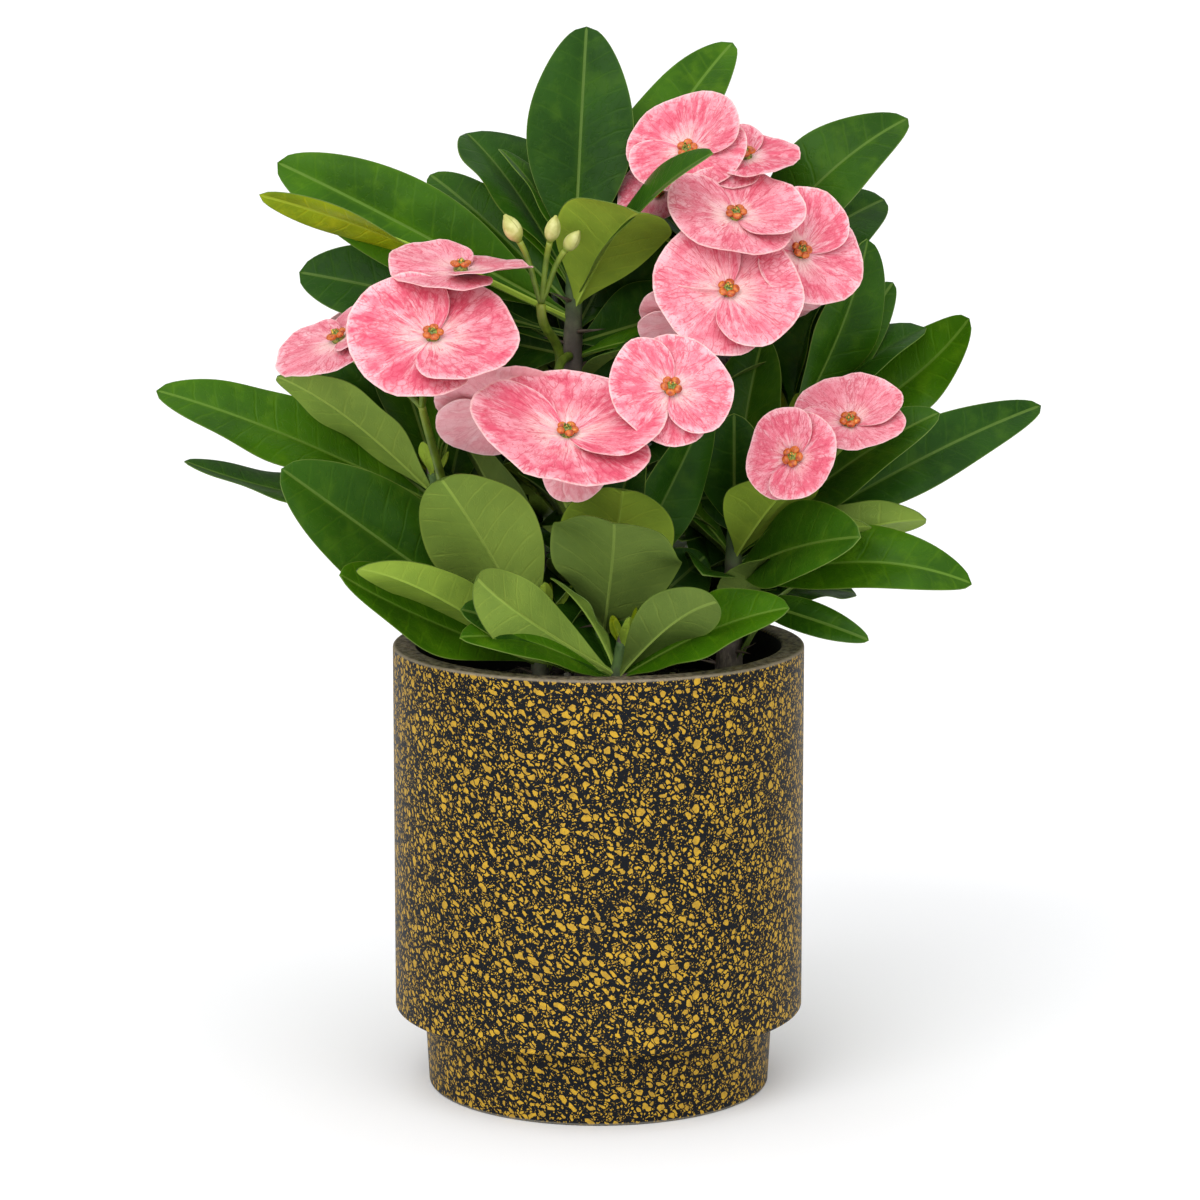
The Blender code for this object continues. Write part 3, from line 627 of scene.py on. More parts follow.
@once
def gland_finish():
    finish = Finish("glands", Roughness=0.35)
    cloud = finish.noise(900.0, 3.0)
    colour = finish.mix(cloud.rise(0.3, 0.6), (0.33, 0.035, 0.012), (0.60, 0.15, 0.018))
    finish.feed("Base Color", finish.mix(cloud.rise(0.62, 0.75), colour, (0.72, 0.36, 0.06)))
    finish.bump(cloud, 0.0002, 0.6)
    return finish.material


@once
def heart_finish():
    finish = Finish("flower_heart", Roughness=0.45)
    cloud = finish.noise(1400.0, 2.0)
    finish.feed("Base Color", finish.mix(cloud.rise(0.35, 0.65), (0.05, 0.11, 0.015), (0.30, 0.34, 0.05)))
    finish.bump(cloud, 0.0002, 0.6)
    return finish.material


@once
def pollen_finish():
    finish = Finish("pollen", Roughness=0.6)
    cloud = finish.noise(1600.0, 2.0)
    finish.feed("Base Color", finish.mix(cloud.rise(0.4, 0.6), (0.46, 0.04, 0.02), (0.85, 0.55, 0.08)))
    return finish.material


# Limb finishes read the attribute "limb": angle round the limb, share of its length, and length (cm).


@once
def bark_finish():
    first = tuple(looks().bark)
    finish = Finish("bark", Roughness=0.85)
    cloud = finish.noise(110.0, 5.0, None, 0.65)
    grain = finish.noise(6.0, 4.0, finish.turned(finish.place(), (0, 0, 0), (90, 90, 22)), 0.6)
    scurf = finish.noise(700.0, 3.0)
    dark = tuple(part * 0.35 for part in first)
    pale = tuple(part * 1.9 for part in first)
    colour = finish.mix(cloud.rise(0.3, 0.7), dark, first)
    colour = finish.mix(grain.rise(0.55, 0.75) * 0.7, colour, pale)
    colour = finish.mix(scurf.rise(0.62, 0.8) * 0.4, colour, pale)
    finish.feed("Base Color", colour)
    finish.bump(grain * 0.8 + scurf * 0.25, 0.0006, 0.9)
    return finish.material


@once
def twig_finish():
    first = tuple(looks().bark)
    finish = Finish("twig_bark", Roughness=0.7)
    angle, share, along = finish.attribute("limb")
    cloud = finish.noise(160.0, 4.0)
    brown = finish.mix(cloud.rise(0.35, 0.65), tuple(part * 0.5 for part in first), first)
    green = finish.mix(cloud.rise(0.35, 0.65), (0.035, 0.08, 0.018), (0.08, 0.15, 0.035))
    colour = finish.mix((share + 0.35 * cloud).rise(0.35, 1.0), brown, green)
    finish.feed("Base Color", colour)
    finish.bump(finish.noise(600.0, 3.0), 0.0003, 0.6)
    return finish.material


@once
def thorn_finish():
    finish = Finish("thorns", Roughness=0.55)
    angle, share, along = finish.attribute("limb")
    colour = finish.mix(finish.noise(500.0), (0.055, 0.038, 0.028), (0.16, 0.12, 0.09))
    finish.feed("Base Color", finish.mix(share.rise(0.55, 1.0), colour, (0.03, 0.015, 0.010)))
    return finish.material


@once
def stalk_finish():
    first = tuple(looks().stalk)
    finish = Finish("stalks", Roughness=0.5)
    angle, share, along = finish.attribute("limb")
    cloud = finish.noise(240.0, 3.0)
    dim = tuple(part * 0.6 for part in first)
    colour = finish.mix(cloud.rise(0.3, 0.7), dim, first)
    finish.feed("Base Color", finish.mix(share.rise(0.7, 1.0) * 0.6, colour, (0.30, 0.36, 0.035)))
    finish.bump(cloud, 0.0002, 0.4)
    return finish.material


@once
def bud_finish():
    finish = Finish("buds", Roughness=0.5)
    angle, share, along = finish.attribute("limb")
    cloud = finish.noise(300.0, 3.0)
    pale = finish.mix(cloud.rise(0.3, 0.7), (0.44, 0.46, 0.12), (0.66, 0.66, 0.27))
    pale = finish.mix(share.rise(0.75, 1.0) * 0.6, pale, (0.36, 0.36, 0.06))
    slit = abs((angle / math.pi).fraction() - 0.5).fall(0.0, 0.05) * share.rise(0.3, 0.6)
    pale = finish.mix(slit * 0.6, pale, (0.20, 0.19, 0.02))
    finish.feed("Base Color", finish.mix(share.fall(0.02, 0.34), pale, (0.22, 0.33, 0.03)))
    finish.bump(cloud, 0.0002, 0.4)
    return finish.material


@once
def mix_finish():
    finish = Finish("potting_mix_crumbs", Roughness=0.95)
    cloud = finish.noise(260.0, 5.0, None, 0.7)
    grit = finish.noise(900.0, 3.0)
    colour = finish.mix(cloud.rise(0.3, 0.7), (0.006, 0.004, 0.003), (0.032, 0.021, 0.014))
    finish.feed("Base Color", finish.mix(grit.rise(0.64, 0.74) * 0.6, colour, (0.11, 0.075, 0.05)))
    finish.bump(cloud * 0.6 + grit * 0.4, 0.0010, 0.9)
    return finish.material


@once
def grit_finish():
    finish = Finish("pale_grit", Roughness=0.9)
    cloud = finish.noise(500.0, 3.0)
    finish.feed("Base Color", finish.mix(cloud, (0.18, 0.16, 0.13), (0.42, 0.39, 0.34)))
    finish.bump(cloud, 0.0005, 0.8)
    return finish.material


def chips(finish, place, spacing, radii, share, gap):
    """How deep a point lies in a chip, in shares of the spacing. Only that share of the points has a chip."""
    distance, pick = finish.scatter(1 / spacing, place)
    round_depth = radii[0] + (radii[1] - radii[0]) * pick[1] - distance
    missing = 1 - (pick[0] > 1 - share)
    return round_depth.least(finish.edges(1 / spacing, place) - gap) - missing


@once
def speckle_finish():
    size = looks().chip_size
    finish = Finish("speckled_planter", Roughness=0.5)
    finish.shader.inputs["Specular IOR Level"].default_value = 0.07
    place = finish.place()
    ragged = finish.strayed(finish.strayed(place, 320.0, 0.0022), 1000.0, 0.0010)
    slim = size * 0.24
    long_a = finish.turned(ragged, (0.4, 0.9, 0.2), (1, 1, 0.42))
    long_b = finish.turned(ragged, (1.2, -0.5, 0.8), (1, 0.42, 1))
    long_c = finish.turned(ragged, (-0.6, 0.3, -1.1), (0.42, 1, 1))
    sets = [
        chips(finish, ragged, size, (0.28, 0.44), 0.26, 0.09),
        chips(finish, long_a, size * 0.60, (0.30, 0.52), 0.44, 0.11),
        chips(finish, long_b, size * 0.55, (0.30, 0.52), 0.44, 0.11),
        chips(finish, long_c, size * 0.50, (0.30, 0.52), 0.44, 0.11),
        chips(finish, finish.turned(ragged, (0.9, 0.2, 0.3), (1, 1, 0.13)), slim, (0.30, 0.46), 0.26, 0.06),
        chips(finish, finish.turned(ragged, (-0.8, 0.6, 1.4), (1, 0.13, 1)), slim, (0.30, 0.46), 0.26, 0.06),
        chips(finish, finish.turned(ragged, (0.3, 1.2, -0.6), (0.13, 1, 1)), slim, (0.30, 0.46), 0.26, 0.06),
        chips(finish, ragged, size * 0.36, (0.28, 0.50), 0.50, 0.12),
        chips(finish, place, size * 0.22, (0.22, 0.38), 0.55, 0.05),
    ]
    chip = sets[0].rise(0.0, 0.02)
    clear = 1 - sets[0].rise(-0.11, -0.09)
    for depth, gap in zip(sets[1:], (0.16, 0.16, 0.16, 0.24, 0.24, 0.24, 0.20, 0.0)):
        chip = chip + depth.rise(0.0, 0.04) * clear
        clear = clear * (1 - depth.rise(-gap - 0.02, -gap))
    tint = finish.noise(420.0, 3.0, place, 0.6)
    ground = finish.mix(finish.noise(1500.0, 2.0, place), tuple(looks().ground), (0.010, 0.012, 0.015))
    gold = finish.mix(tint.rise(0.30, 0.70), tuple(looks().gold), (0.36, 0.215, 0.030))
    gold = finish.mix(finish.noise(900.0, 2.0, place).rise(0.58, 0.72) * 0.6, gold, (0.25, 0.155, 0.020))
    colour = finish.mix(chip, ground, gold)
    x, y, z = finish.parts(place)
    radius = (x * x + y * y) ** 0.5
    # The top face is greyish-brown with streaks, a little ochre over the chips, and paler at the outer lip.
    top = z.rise(POT_HIGH.z - 0.0011, POT_HIGH.z - 0.0004)
    streaks = finish.noise(1.0, 4.0, finish.vector(radius * 260.0, x * 420.0, y * 420.0), 0.65)
    top_face_colour = finish.mix(streaks.rise(0.34, 0.66), (0.045, 0.038, 0.030), (0.20, 0.17, 0.12))
    top_face_colour = finish.mix(chip * 0.25, top_face_colour, (0.30, 0.21, 0.08))
    lip = (POT_HIGH.x - radius).fall(0.0004, 0.0014)
    top_face_colour = finish.mix(lip * 0.6, top_face_colour, (0.30, 0.25, 0.18))
    colour = finish.mix(top, colour, top_face_colour)
    # Painted shade: the inner wall below the top is near-black and has no chips, standing in for the shade inside the
    # planter.
    inside = radius.fall(POT_HIGH.x - 0.0070, POT_HIGH.x - 0.0066) * z.rise(0.04, 0.05) * (1 - top)
    colour = finish.mix(inside, colour, (0.012, 0.011, 0.010))
    foot = z.fall(0.0006, 0.0012)
    colour = finish.mix(foot * 0.8, colour, (0.17, 0.16, 0.135))
    finish.feed("Base Color", colour)
    finish.feed("Roughness", 0.42 + 0.12 * tint + 0.25 * top.most(inside))
    finish.bump(finish.noise(1300.0, 3.0, place) * 0.5 + streaks * top, 0.00012, 0.5)
    return finish.material


# Shapes


def grid(columns, rows):
    """A flat grid whose corners run from 0 to 1 both ways."""
    shape = bmesh.new()
    bmesh.ops.create_grid(shape, x_segments=columns, y_segments=rows, size=0.5)
    bmesh.ops.translate(shape, verts=shape.verts, vec=(0.5, 0.5, 0.0))
    return shape


def sheet(columns, rows, layer, mark):
    """A grid with an upper face at height 1, a lower face at height 0 and a rim between them."""
    shape = grid(columns, rows)
    lower = list(shape.faces)
    bmesh.ops.extrude_face_region(shape, geom=lower, use_keep_orig=True)
    own = {vert for face in lower for vert in face.verts}
    for vert in shape.verts:
        vert.co.z = 0.0 if vert in own else 1.0
    bmesh.ops.reverse_faces(shape, faces=lower)
    shape.verts.layers.float_vector.new(layer)
    for face in shape.faces:
        face.material_index = mark(face.calc_center_median())
    mesh = bpy.data.meshes.new(layer)
    shape.to_mesh(mesh)
    shape.free()
    return mesh


def absorb(shape, part):
    """Welds a part's doubles, and adds it to a larger shape."""
    bmesh.ops.remove_doubles(part, verts=part.verts, dist=WELD)
    mesh = bpy.data.meshes.new("part")
    part.to_mesh(mesh)
    part.free()
    shape.from_mesh(mesh)
    bpy.data.meshes.remove(mesh)


def new_shape(layer):
    shape = bmesh.new()
    shape.verts.layers.float_vector.new(layer)
    return shape


def finish_piece(name, shape, materials, nodes=(), sharp=None):
    """Makes the shape a piece of the part, with its materials and its body, and hides the nodes it stands for."""
    mesh = bpy.data.meshes.new(name)
    shape.to_mesh(mesh)
    shape.free()
    for material in materials:
        mesh.materials.append(material)
    mesh.shade_smooth()
    if sharp:
        mesh.set_sharp_from_angle(angle=math.radians(sharp))
    piece = bpy.data.objects.new(name, mesh)
    bpy.context.scene.collection.objects.link(piece)
    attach(piece, "root")
    if nodes:
        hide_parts(*nodes)
    return piece


def place(x, y, z):
    return Vector((x, y, z)) * MM


def direction(azimuth, lift):
    flat = math.cos(lift)
    return Vector((flat * math.cos(azimuth), flat * math.sin(azimuth), math.sin(lift)))


def bezier(start, start_way, end, end_way, steps):
    """The source's curve between two points, with a short straight collar at each end."""
    first = start + start_way * COLLAR
    last = end - end_way * COLLAR
    reach = (last - first).length * BEND_REACH
    near = first + start_way * reach
    far = last - end_way * reach
    points = [start]
    for step in range(steps + 1):
        t = step / steps
        s = 1 - t
        points.append(first * s ** 3 + near * 3 * s * s * t + far * 3 * s * t * t + last * t ** 3)
    return points + [end]


def steps_for(start, end, step):
    return max(math.ceil((end - start).length / step), 4)


def rings(points):
    """Each point with its direction and two ways across it, which don't turn round the line."""
    found = []
    across = None
    for index, point in enumerate(points):
        way = (points[min(index + 1, len(points) - 1)] - points[max(index - 1, 0)]).normalized()
        across = across or way.orthogonal()
        across = (across - way * across.dot(way)).normalized()
        found.append((point, across, way.cross(across)))
    return found


def add_tube(shape, points, sides, radius_at):
    """A closed tube along the points. Its attribute "limb" holds angle, share of the length and length (cm)."""
    found = rings(points)
    lengths = [0.0]
    for first, second in zip(points, points[1:]):
        lengths.append(lengths[-1] + (second - first).length)
    rows = len(points) + 1
    part = grid(sides, rows)
    limb = part.verts.layers.float_vector.new("limb")
    for vert in part.verts:
        angle = vert.co.x * math.tau
        row = round(vert.co.y * rows)
        station = min(max(row - 1, 0), len(points) - 1)
        point, across, over = found[station]
        share = lengths[station] / lengths[-1]
        radius = 0.0 if row in (0, rows) else radius_at(share, lengths[station], angle)
        vert.co = point + (across * math.cos(angle) + over * math.sin(angle)) * radius
        vert[limb] = (angle, share, lengths[station] / CM)
    absorb(shape, part)


def add_ball(shape, middle, sizes, turn, u, v, material=0):
    part = bmesh.new()
    part.verts.layers.float_vector.new("limb")
    bmesh.ops.create_uvsphere(part, u_segments=u, v_segments=v, radius=1.0)
    stretch = Matrix.Diagonal((*sizes, 1.0))
    bmesh.ops.transform(part, verts=part.verts, matrix=Matrix.Translation(middle) @ turn.to_4x4() @ stretch)
    for face in part.faces:
        face.material_index = material
    absorb(shape, part)


# Leaves


def leaf_frame(way, roll):
    along = way.normalized()
    flat = Vector((along.x, along.y, 0.0)).normalized()
    face = Vector((-along.z * flat.x, -along.z * flat.y, math.hypot(along.x, along.y)))
    side = along.cross(face)
    turn_face = face * math.cos(roll) + side * math.sin(roll)
    turn_side = side * math.cos(roll) - face * math.sin(roll)
    return along, turn_face, turn_side


def leaf_half_width(leaf, t):
    stretch = math.log(0.5) / math.log(leaf.shoulder)
    swell = math.sin(math.pi * t ** stretch) if 0 < t < 1 else 0.0
    half = leaf.width / 2 * max(swell, 0.0) ** (LEAF_ROOT_SWELL - LEAF_TIP_SWELL * t)
    return max(half, LEAF_ROOT_HALF_WIDTH * (1 - t))


def limb_point(limb, along):
    return limb.root.lerp(limb.tip, along)


def leaf_to_tip(twig, x, y, z, width, roll, bow=LEAF_BOW, twist=0.0, shoulder=LEAF_SHOULDER):
    tip = place(x, y, z)
    way = tip - limb_point(twig, 0.5)
    lift = math.asin(way.normalized().z) / (math.pi / 2)
    root = limb_point(twig, min(max(STAND_FLAT + STAND_RISE * lift, STAND_LOWEST), STAND_HIGHEST))
    way = tip - root
    along, face, side = leaf_frame(way, math.radians(roll))
    return Leaf(root, along, face, side, way.length, width * MM, bow, math.radians(twist), shoulder)


def spiral_leaf(twig, index, count, attempt, draw):
    rise = (index + 0.5) / count
    azimuth = index * GOLDEN_ANGLE + draw.uniform(-SPIRAL_STRAY, SPIRAL_STRAY) * (1 + attempt)
    lift = SPIRAL_LIFT + SPIRAL_LIFT_RISE * rise + draw.uniform(-SPIRAL_LIFT_STRAY, SPIRAL_LIFT_STRAY)
    length = SPIRAL_LENGTH - SPIRAL_LENGTH_DROP * rise
    length = length + draw.uniform(-SPIRAL_LENGTH_STRAY, SPIRAL_LENGTH_STRAY)
    length = length * (1 - SPIRAL_SHRINK * attempt) * MM
    width = min(length * draw.uniform(SPIRAL_SLIM, SPIRAL_BROAD), SPIRAL_WIDEST)
    roll = math.radians(draw.uniform(-SPIRAL_ROLL, SPIRAL_ROLL))
    along, face, side = leaf_frame(direction(azimuth, math.radians(lift)), roll)
    root = limb_point(twig, SPIRAL_FOOT + SPIRAL_SPAN * rise)
    return Leaf(root, along, face, side, length, width, draw.uniform(*SPIRAL_BOW), 0.0, LEAF_SHOULDER)


def half_blade(column, half):
    """How far off the midrib a column lies: one cell of rib, cells of blade, and one cell of rim."""
    cells = 1 / 8
    rib = min(RIB_HALF_WIDTH, half * 0.3)
    rim = half - min(RIM_WIDTH, half * 0.2)
    if column <= cells:
        return rib * column / cells
    if column < 1 - cells:
        return rib + (rim - rib) * ((column - cells) / (1 - 2 * cells)) ** 1.4
    return rim + (half - rim) * (column - 1 + cells) / cells


def blade_point(leaf, wave, column, t, upper):
    """A point of the finer blade, and its share across, its distance from the midrib and from the root (cm)."""
    half = leaf_half_width(leaf, t)
    off_rib = half_blade(abs(column), half)
    across = off_rib / half if half > WELD else 0.0
    fold = (math.hypot(across, CREASE_ROUND) - CREASE_ROUND) / (math.hypot(1, CREASE_ROUND) - CREASE_ROUND)
    side_phase = wave.phase + (1.9 if column < 0 else 0.0)
    ripple = wave.height * math.sin(math.tau * wave.count * t + side_phase) * across ** 2.5 * math.sin(math.pi * t)
    rise = half * (LEAF_FOLD * fold + BULGE * 4 * across * (1 - across) + ripple)
    stalk = math.exp(-t / 0.05)
    thick = BLADE_HALF_THICKNESS * (1 - 0.5 * across ** 4) + 0.0006 * stalk
    ridge = math.exp(-(off_rib / (RIB_HALF_WIDTH * (1.5 - t))) ** 2)
    if upper:
        rise += thick - 0.0004 * ridge * (1 - t) * (1 - stalk)
    else:
        rise -= thick + RIB_HEIGHT * ridge * (1 - t) ** 0.8
    bow = leaf.bow * leaf.length * 4 * t * (1 - t) * (LEAF_BOW_AT_ROOT + LEAF_BOW_TO_TIP * t)
    turn = leaf.twist * t ** LEAF_TWIST_DELAY
    side = leaf.side * math.cos(turn) + leaf.face * math.sin(turn)
    face = leaf.face * math.cos(turn) - leaf.side * math.sin(turn)
    signed = math.copysign(off_rib, column)
    point = leaf.root + leaf.along * leaf.length * t + leaf.face * bow + side * signed + face * rise
    return point, (math.copysign(across, column), signed / CM, leaf.length * t / CM)


def blade_part(middle):
    """Which finish a cell of the template takes: upper blade, lower blade, two ribs or rim."""
    column = abs(middle.x * 2 - 1)
    if 0.1 < middle.z < 0.9 or column > 7 / 8:
        return 4
    if column < 1 / 8:
        return 2 if middle.z > 0.5 else 3
    return 0 if middle.z > 0.5 else 1


def add_leaf(shape, template, leaf, wave, slots):
    part = bmesh.new()
    part.from_mesh(template)
    blade = part.verts.layers.float_vector["blade"]
    for vert in part.verts:
        column, along, upper = vert.co
        t = along * (1.35 - 0.35 * along)
        vert.co, vert[blade] = blade_point(leaf, wave, column * 2 - 1, t, upper > 0.5)
    for face in part.faces:
        face.material_index = slots[face.material_index]
    absorb(shape, part)


def blade_slots(tone):
    """Material slots of a leaf's upper and lower face, rib above and below, and rim."""
    index = TONES.index(tone)
    return index, index + 4, index + 8, index + 12, 16


def tips_of(node):
    """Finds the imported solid's corners by place."""
    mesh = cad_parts[node].data
    tree = KDTree(len(mesh.vertices))
    for index, vert in enumerate(mesh.vertices):
        tree.insert(vert.co, index)
    tree.balance()
    return tree


def grown_leaves(name, rows, twigs, draw):
    """The leaves of one mass: those that show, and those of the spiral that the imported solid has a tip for."""
    leaves = []
    for twig, row in zip(twigs, rows):
        leaves.extend((tone, leaf_to_tip(twig, *sizes)) for tone, *sizes in row[4])
    corners = tips_of(name)
    for twig, row in zip(twigs, rows):
        for index in range(row[5]):
            for attempt in range(SPIRAL_ATTEMPTS):
                leaf = spiral_leaf(twig, index, row[5], attempt, draw)
                tip = leaf.root + leaf.along * leaf.length
                if corners.find(tip)[2] < SAME_PLACE:
                    leaves.append((("deep", "plain", "plain", "fresh")[len(leaves) % 4], leaf))
                    break
    return leaves


def young_leaves(twig, draw):
    """A few small leaves that stand up round a twig's tip."""
    up = (twig.tip - twig.root).normalized()
    for index in range(4):
        way = (direction(index * GOLDEN_ANGLE, 0.0) * (0.8 - 0.15 * index) + up).normalized()
        length = draw.uniform(9, 17) * MM
        along, face, side = leaf_frame(way, math.radians(draw.uniform(-30, 30)))
        root = limb_point(twig, 0.93)
        yield Leaf(root, along, face, side, length, length * 0.38, -0.08, 0.0, LEAF_SHOULDER)


def inner_leaves(points, draw):
    """Short dark leaves along a limb, which close the crown's inside."""
    for number, station in enumerate(range(len(points) // 4, len(points), 6)):
        azimuth = number * GOLDEN_ANGLE + draw.uniform(-0.4, 0.4)
        way = direction(azimuth, math.radians(draw.uniform(10, 55)))
        along, face, side = leaf_frame(way, math.radians(draw.uniform(-30, 30)))
        length = draw.uniform(34, 50) * MM
        yield Leaf(points[station], along, face, side, length, length * 0.42, 0.08, 0.0, LEAF_SHOULDER)


def plan_twigs():
    """The straight twig at the heart of each mass, and the limb's tip that it stands on."""
    tips = {name: place(*tip) for name, height, azimuth, tip, root_radius, tip_radius in BOUGHS}
    tips.update({name: place(*tip) for name, root, tip, root_radius, tip_radius in STEMS})
    tips["bough_top"] = place(*BOUGH_TOP)
    twigs = {}
    for name, rows in MASSES:
        twigs[name] = []
        for stand, tip, root_radius, tip_radius, leaves, extra in rows:
            foot = tips[stand] if stand in tips else place(*stand, MIX_HIGH.z / MM)
            up = (place(*tip) - foot).normalized()
            if stand in tips:
                tips[stand] = (foot, up)
            else:
                foot.z += math.hypot(up.x, up.y) * root_radius * MM
            twigs[name].append(Limb(foot + up * GAP, place(*tip), root_radius * MM, tip_radius * MM))
    return twigs, tips


# Limbs


def beside(limb, along, azimuth):
    radius = limb.root_radius + (limb.tip_radius - limb.root_radius) * along
    way = direction(math.radians(azimuth), 0.0)
    axis = (limb.tip - limb.root).normalized()
    way = (way - axis * way.dot(axis)).normalized()
    return limb_point(limb, along) + way * (radius + GAP), way


def plan_limbs(tips):
    """Each limb's points and its root and tip radius. A limb starts sunk a little in what carries it."""
    root, tip, root_radius, tip_radius = TRUNK
    trunk = Limb(place(*root), place(*tip), root_radius * MM, tip_radius * MM)
    routes = [(trunk.root - UP * SUNK, UP, trunk.tip, UP, root_radius, tip_radius)]
    routes.append((trunk.tip - UP * SUNK, UP, *tips["bough_top"], *BOUGH_TOP_RADII))
    for name, height, azimuth, tip, root_radius, tip_radius in BOUGHS:
        start, out = beside(trunk, (height * MM - trunk.root.z) / (trunk.tip.z - trunk.root.z), azimuth)
        routes.append((start - out * SUNK, out, *tips[name], root_radius, tip_radius))
    for name, root, tip, root_radius, tip_radius in STEMS:
        routes.append((place(*root, MIX_HIGH.z / MM) - UP * SUNK, UP, *tips[name], root_radius, tip_radius))
    limbs = []
    for start, start_way, end, end_way, root_radius, tip_radius in routes:
        points = bezier(start, start_way, end, end_way, steps_for(start, end, BARK_STEP))
        limbs.append((points, root_radius * MM, tip_radius * MM))
    return limbs


def bark_radius(root_radius, tip_radius, flare, seed):
    """Radius along and round a limb: a taper, a flare at its foot, leaf scars and rough ridges."""
    def radius_at(share, length, angle):
        radius = root_radius + (tip_radius - root_radius) * share
        radius *= 1 + flare * math.exp(-length / 0.006)
        spot = Vector((math.cos(angle) * 2.2, math.sin(angle) * 2.2, length / 0.0045 + seed * 9.0))
        lumps = noise.noise(spot) * 0.10 + noise.noise(spot * 2.7) * 0.05
        scar = math.cos(math.tau * length / 0.0085 + angle + seed)
        return radius * (0.97 + lumps + 0.035 * max(scar, 0.0) ** 4)
    return radius_at


def add_thorn(shape, foot, way, length, radius, sides):
    bend = way.orthogonal().normalized() * length * 0.08
    points = [foot + way * length * t + bend * t * t for t in (0.0, 0.12, 0.35, 0.7, 1.0)]
    widths = (1.5, 1.0, 0.72, 0.42, 0.10)

    def radius_at(share, place_along, angle):
        nearest = min(range(5), key=lambda index: abs((points[index] - foot).length - place_along))
        return radius * widths[nearest]

    add_tube(shape, points, sides, radius_at)


def add_thorns(shape, points, root_radius, tip_radius, spacing, draw, clear_foot):
    """Pairs of thorns in a spiral round a limb."""
    found = rings(points)
    run = clear_foot
    length = sum((second - first).length for first, second in zip(points, points[1:]))
    number = 0
    while run < length - spacing:
        share = run / length
        station = round(share * (len(points) - 1))
        point, across, over = found[station]
        forward = across.cross(over)
        radius = root_radius + (tip_radius - root_radius) * share
        for stray in (-0.22, 0.22):
            angle = number * GOLDEN_ANGLE + stray + draw.uniform(-0.1, 0.1)
            out = across * math.cos(angle) + over * math.sin(angle)
            way = (out + forward * draw.uniform(-0.05, 0.4) + UP * 0.15).normalized()
            size = draw.uniform(*looks().thorn_lengths)
            add_thorn(shape, point + out * radius * 0.9, way, size, size * 0.075, 6)
        run += spacing * draw.uniform(0.8, 1.25)
        number += 1


# Blossom


def flower_frame(azimuth, lift, turn):
    facing = direction(math.radians(azimuth), math.radians(lift))
    up = (UP - facing * facing.z).normalized()
    right = up.cross(facing)
    turn = math.radians(turn)
    seam = right * math.cos(turn) + up * math.sin(turn)
    return facing, seam, up * math.cos(turn) - right * math.sin(turn)


def spray_flowers(rows):
    flowers = []
    for x, y, z, width, azimuth, lift, turn, cup in rows:
        flowers.append(Flower(place(x, y, z), *flower_frame(azimuth, lift, turn), width * MM, cup))
    return flowers


def bract_point(flower, half, angle, reach, off):
    """The source's bract: 270 degrees of a kidney shape that laps over its twin."""
    spread = angle * BRACT_SPAN / math.pi
    radius = flower.width * BRACT_REACH * math.sqrt(max(1 - (abs(angle) / math.pi) ** 4, 0.0)) * reach
    seam = radius * math.sin(spread) * BRACT_BREADTH
    out = radius * math.cos(spread)
    rise = BRACT_OVERLAP * seam + flower.cup * radius + off
    return flower.centre + (flower.seam * seam + flower.across * out) * half + flower.facing * rise


def saddle(flower, point, phase):
    """How far a flower's disc is bent up or down at a point, the same for both of its bracts."""
    x = (point - flower.centre).dot(flower.seam) / flower.width * 2
    y = (point - flower.centre).dot(flower.across) / flower.width * 2
    reach = math.hypot(x, y)
    turn = math.atan2(y, x)
    bend = 0.018 * math.sin(2 * turn + phase) * reach ** 2
    bend += 0.008 * math.sin(5 * turn + 2.3 * phase) * reach ** 3
    return flower.facing * flower.width * bend


def bract_part(middle):
    if 0.1 < middle.z < 0.9:
        return 2
    return 0 if middle.z > 0.5 else 1


def add_bract(shape, template, flower, half, phase, number):
    part = bmesh.new()
    part.from_mesh(template)
    petal = part.verts.layers.float_vector["petal"]
    for vert in part.verts:
        turn = vert.co.x * 2 - 1
        angle = math.pi * (1.5 * turn - 0.5 * turn ** 3)
        reach = vert.co.y
        frill = 0.006 * math.sin(9 * angle + phase + half) * reach ** 4
        frill -= 0.03 * math.exp(-((angle / 0.25) ** 2)) * reach
        edge = 1 - (0.03 + 0.018 * math.sin(4 * angle + phase)) * reach
        off = flower.width * frill
        off += BRACT_HALF_THICKNESS * (1 if vert.co.z > 0.5 else -1) * (1.6 - reach)
        point = bract_point(flower, half, angle, reach * edge, off)
        vert.co = point + saddle(flower, point, phase)
        vert[petal] = (angle * BRACT_SPAN / math.pi, reach, number)
    absorb(shape, part)


def add_flower_heart(shape, flower, draw):
    """The cup between the bracts: a green foot, five glands round its edge and pollen heads in it."""
    turn = Matrix((flower.seam, flower.across, flower.facing)).transposed()
    size = CUP_RADIUS * 0.92
    base = flower.centre
    add_ball(shape, base + flower.facing * size * 0.25, (size * 0.62, size * 0.62, size * 0.75), turn, 14, 8, 1)
    start = draw.uniform(0, math.tau)
    for index in range(5):
        angle = start + index * math.tau / 5 + draw.uniform(-0.12, 0.12)
        out = flower.seam * math.cos(angle) + flower.across * math.sin(angle)
        round_way = flower.facing.cross(out)
        spin = Matrix((out, round_way, flower.facing)).transposed()
        middle = base + out * size * 0.60 + flower.facing * size * (0.72 + draw.uniform(-0.06, 0.06))
        add_ball(shape, middle, (size * 0.36, size * 0.42, size * 0.24), spin, 10, 6, 0)
    for index in range(7):
        angle = index * GOLDEN_ANGLE + start
        out = flower.seam * math.cos(angle) + flower.across * math.sin(angle)
        reach = size * 0.10 * index ** 0.5
        middle = base + out * reach + flower.facing * size * (1.02 + draw.uniform(-0.08, 0.10))
        add_ball(shape, middle, (size * 0.10, size * 0.10, size * 0.16), turn, 6, 4, 2 if index % 2 else 1)


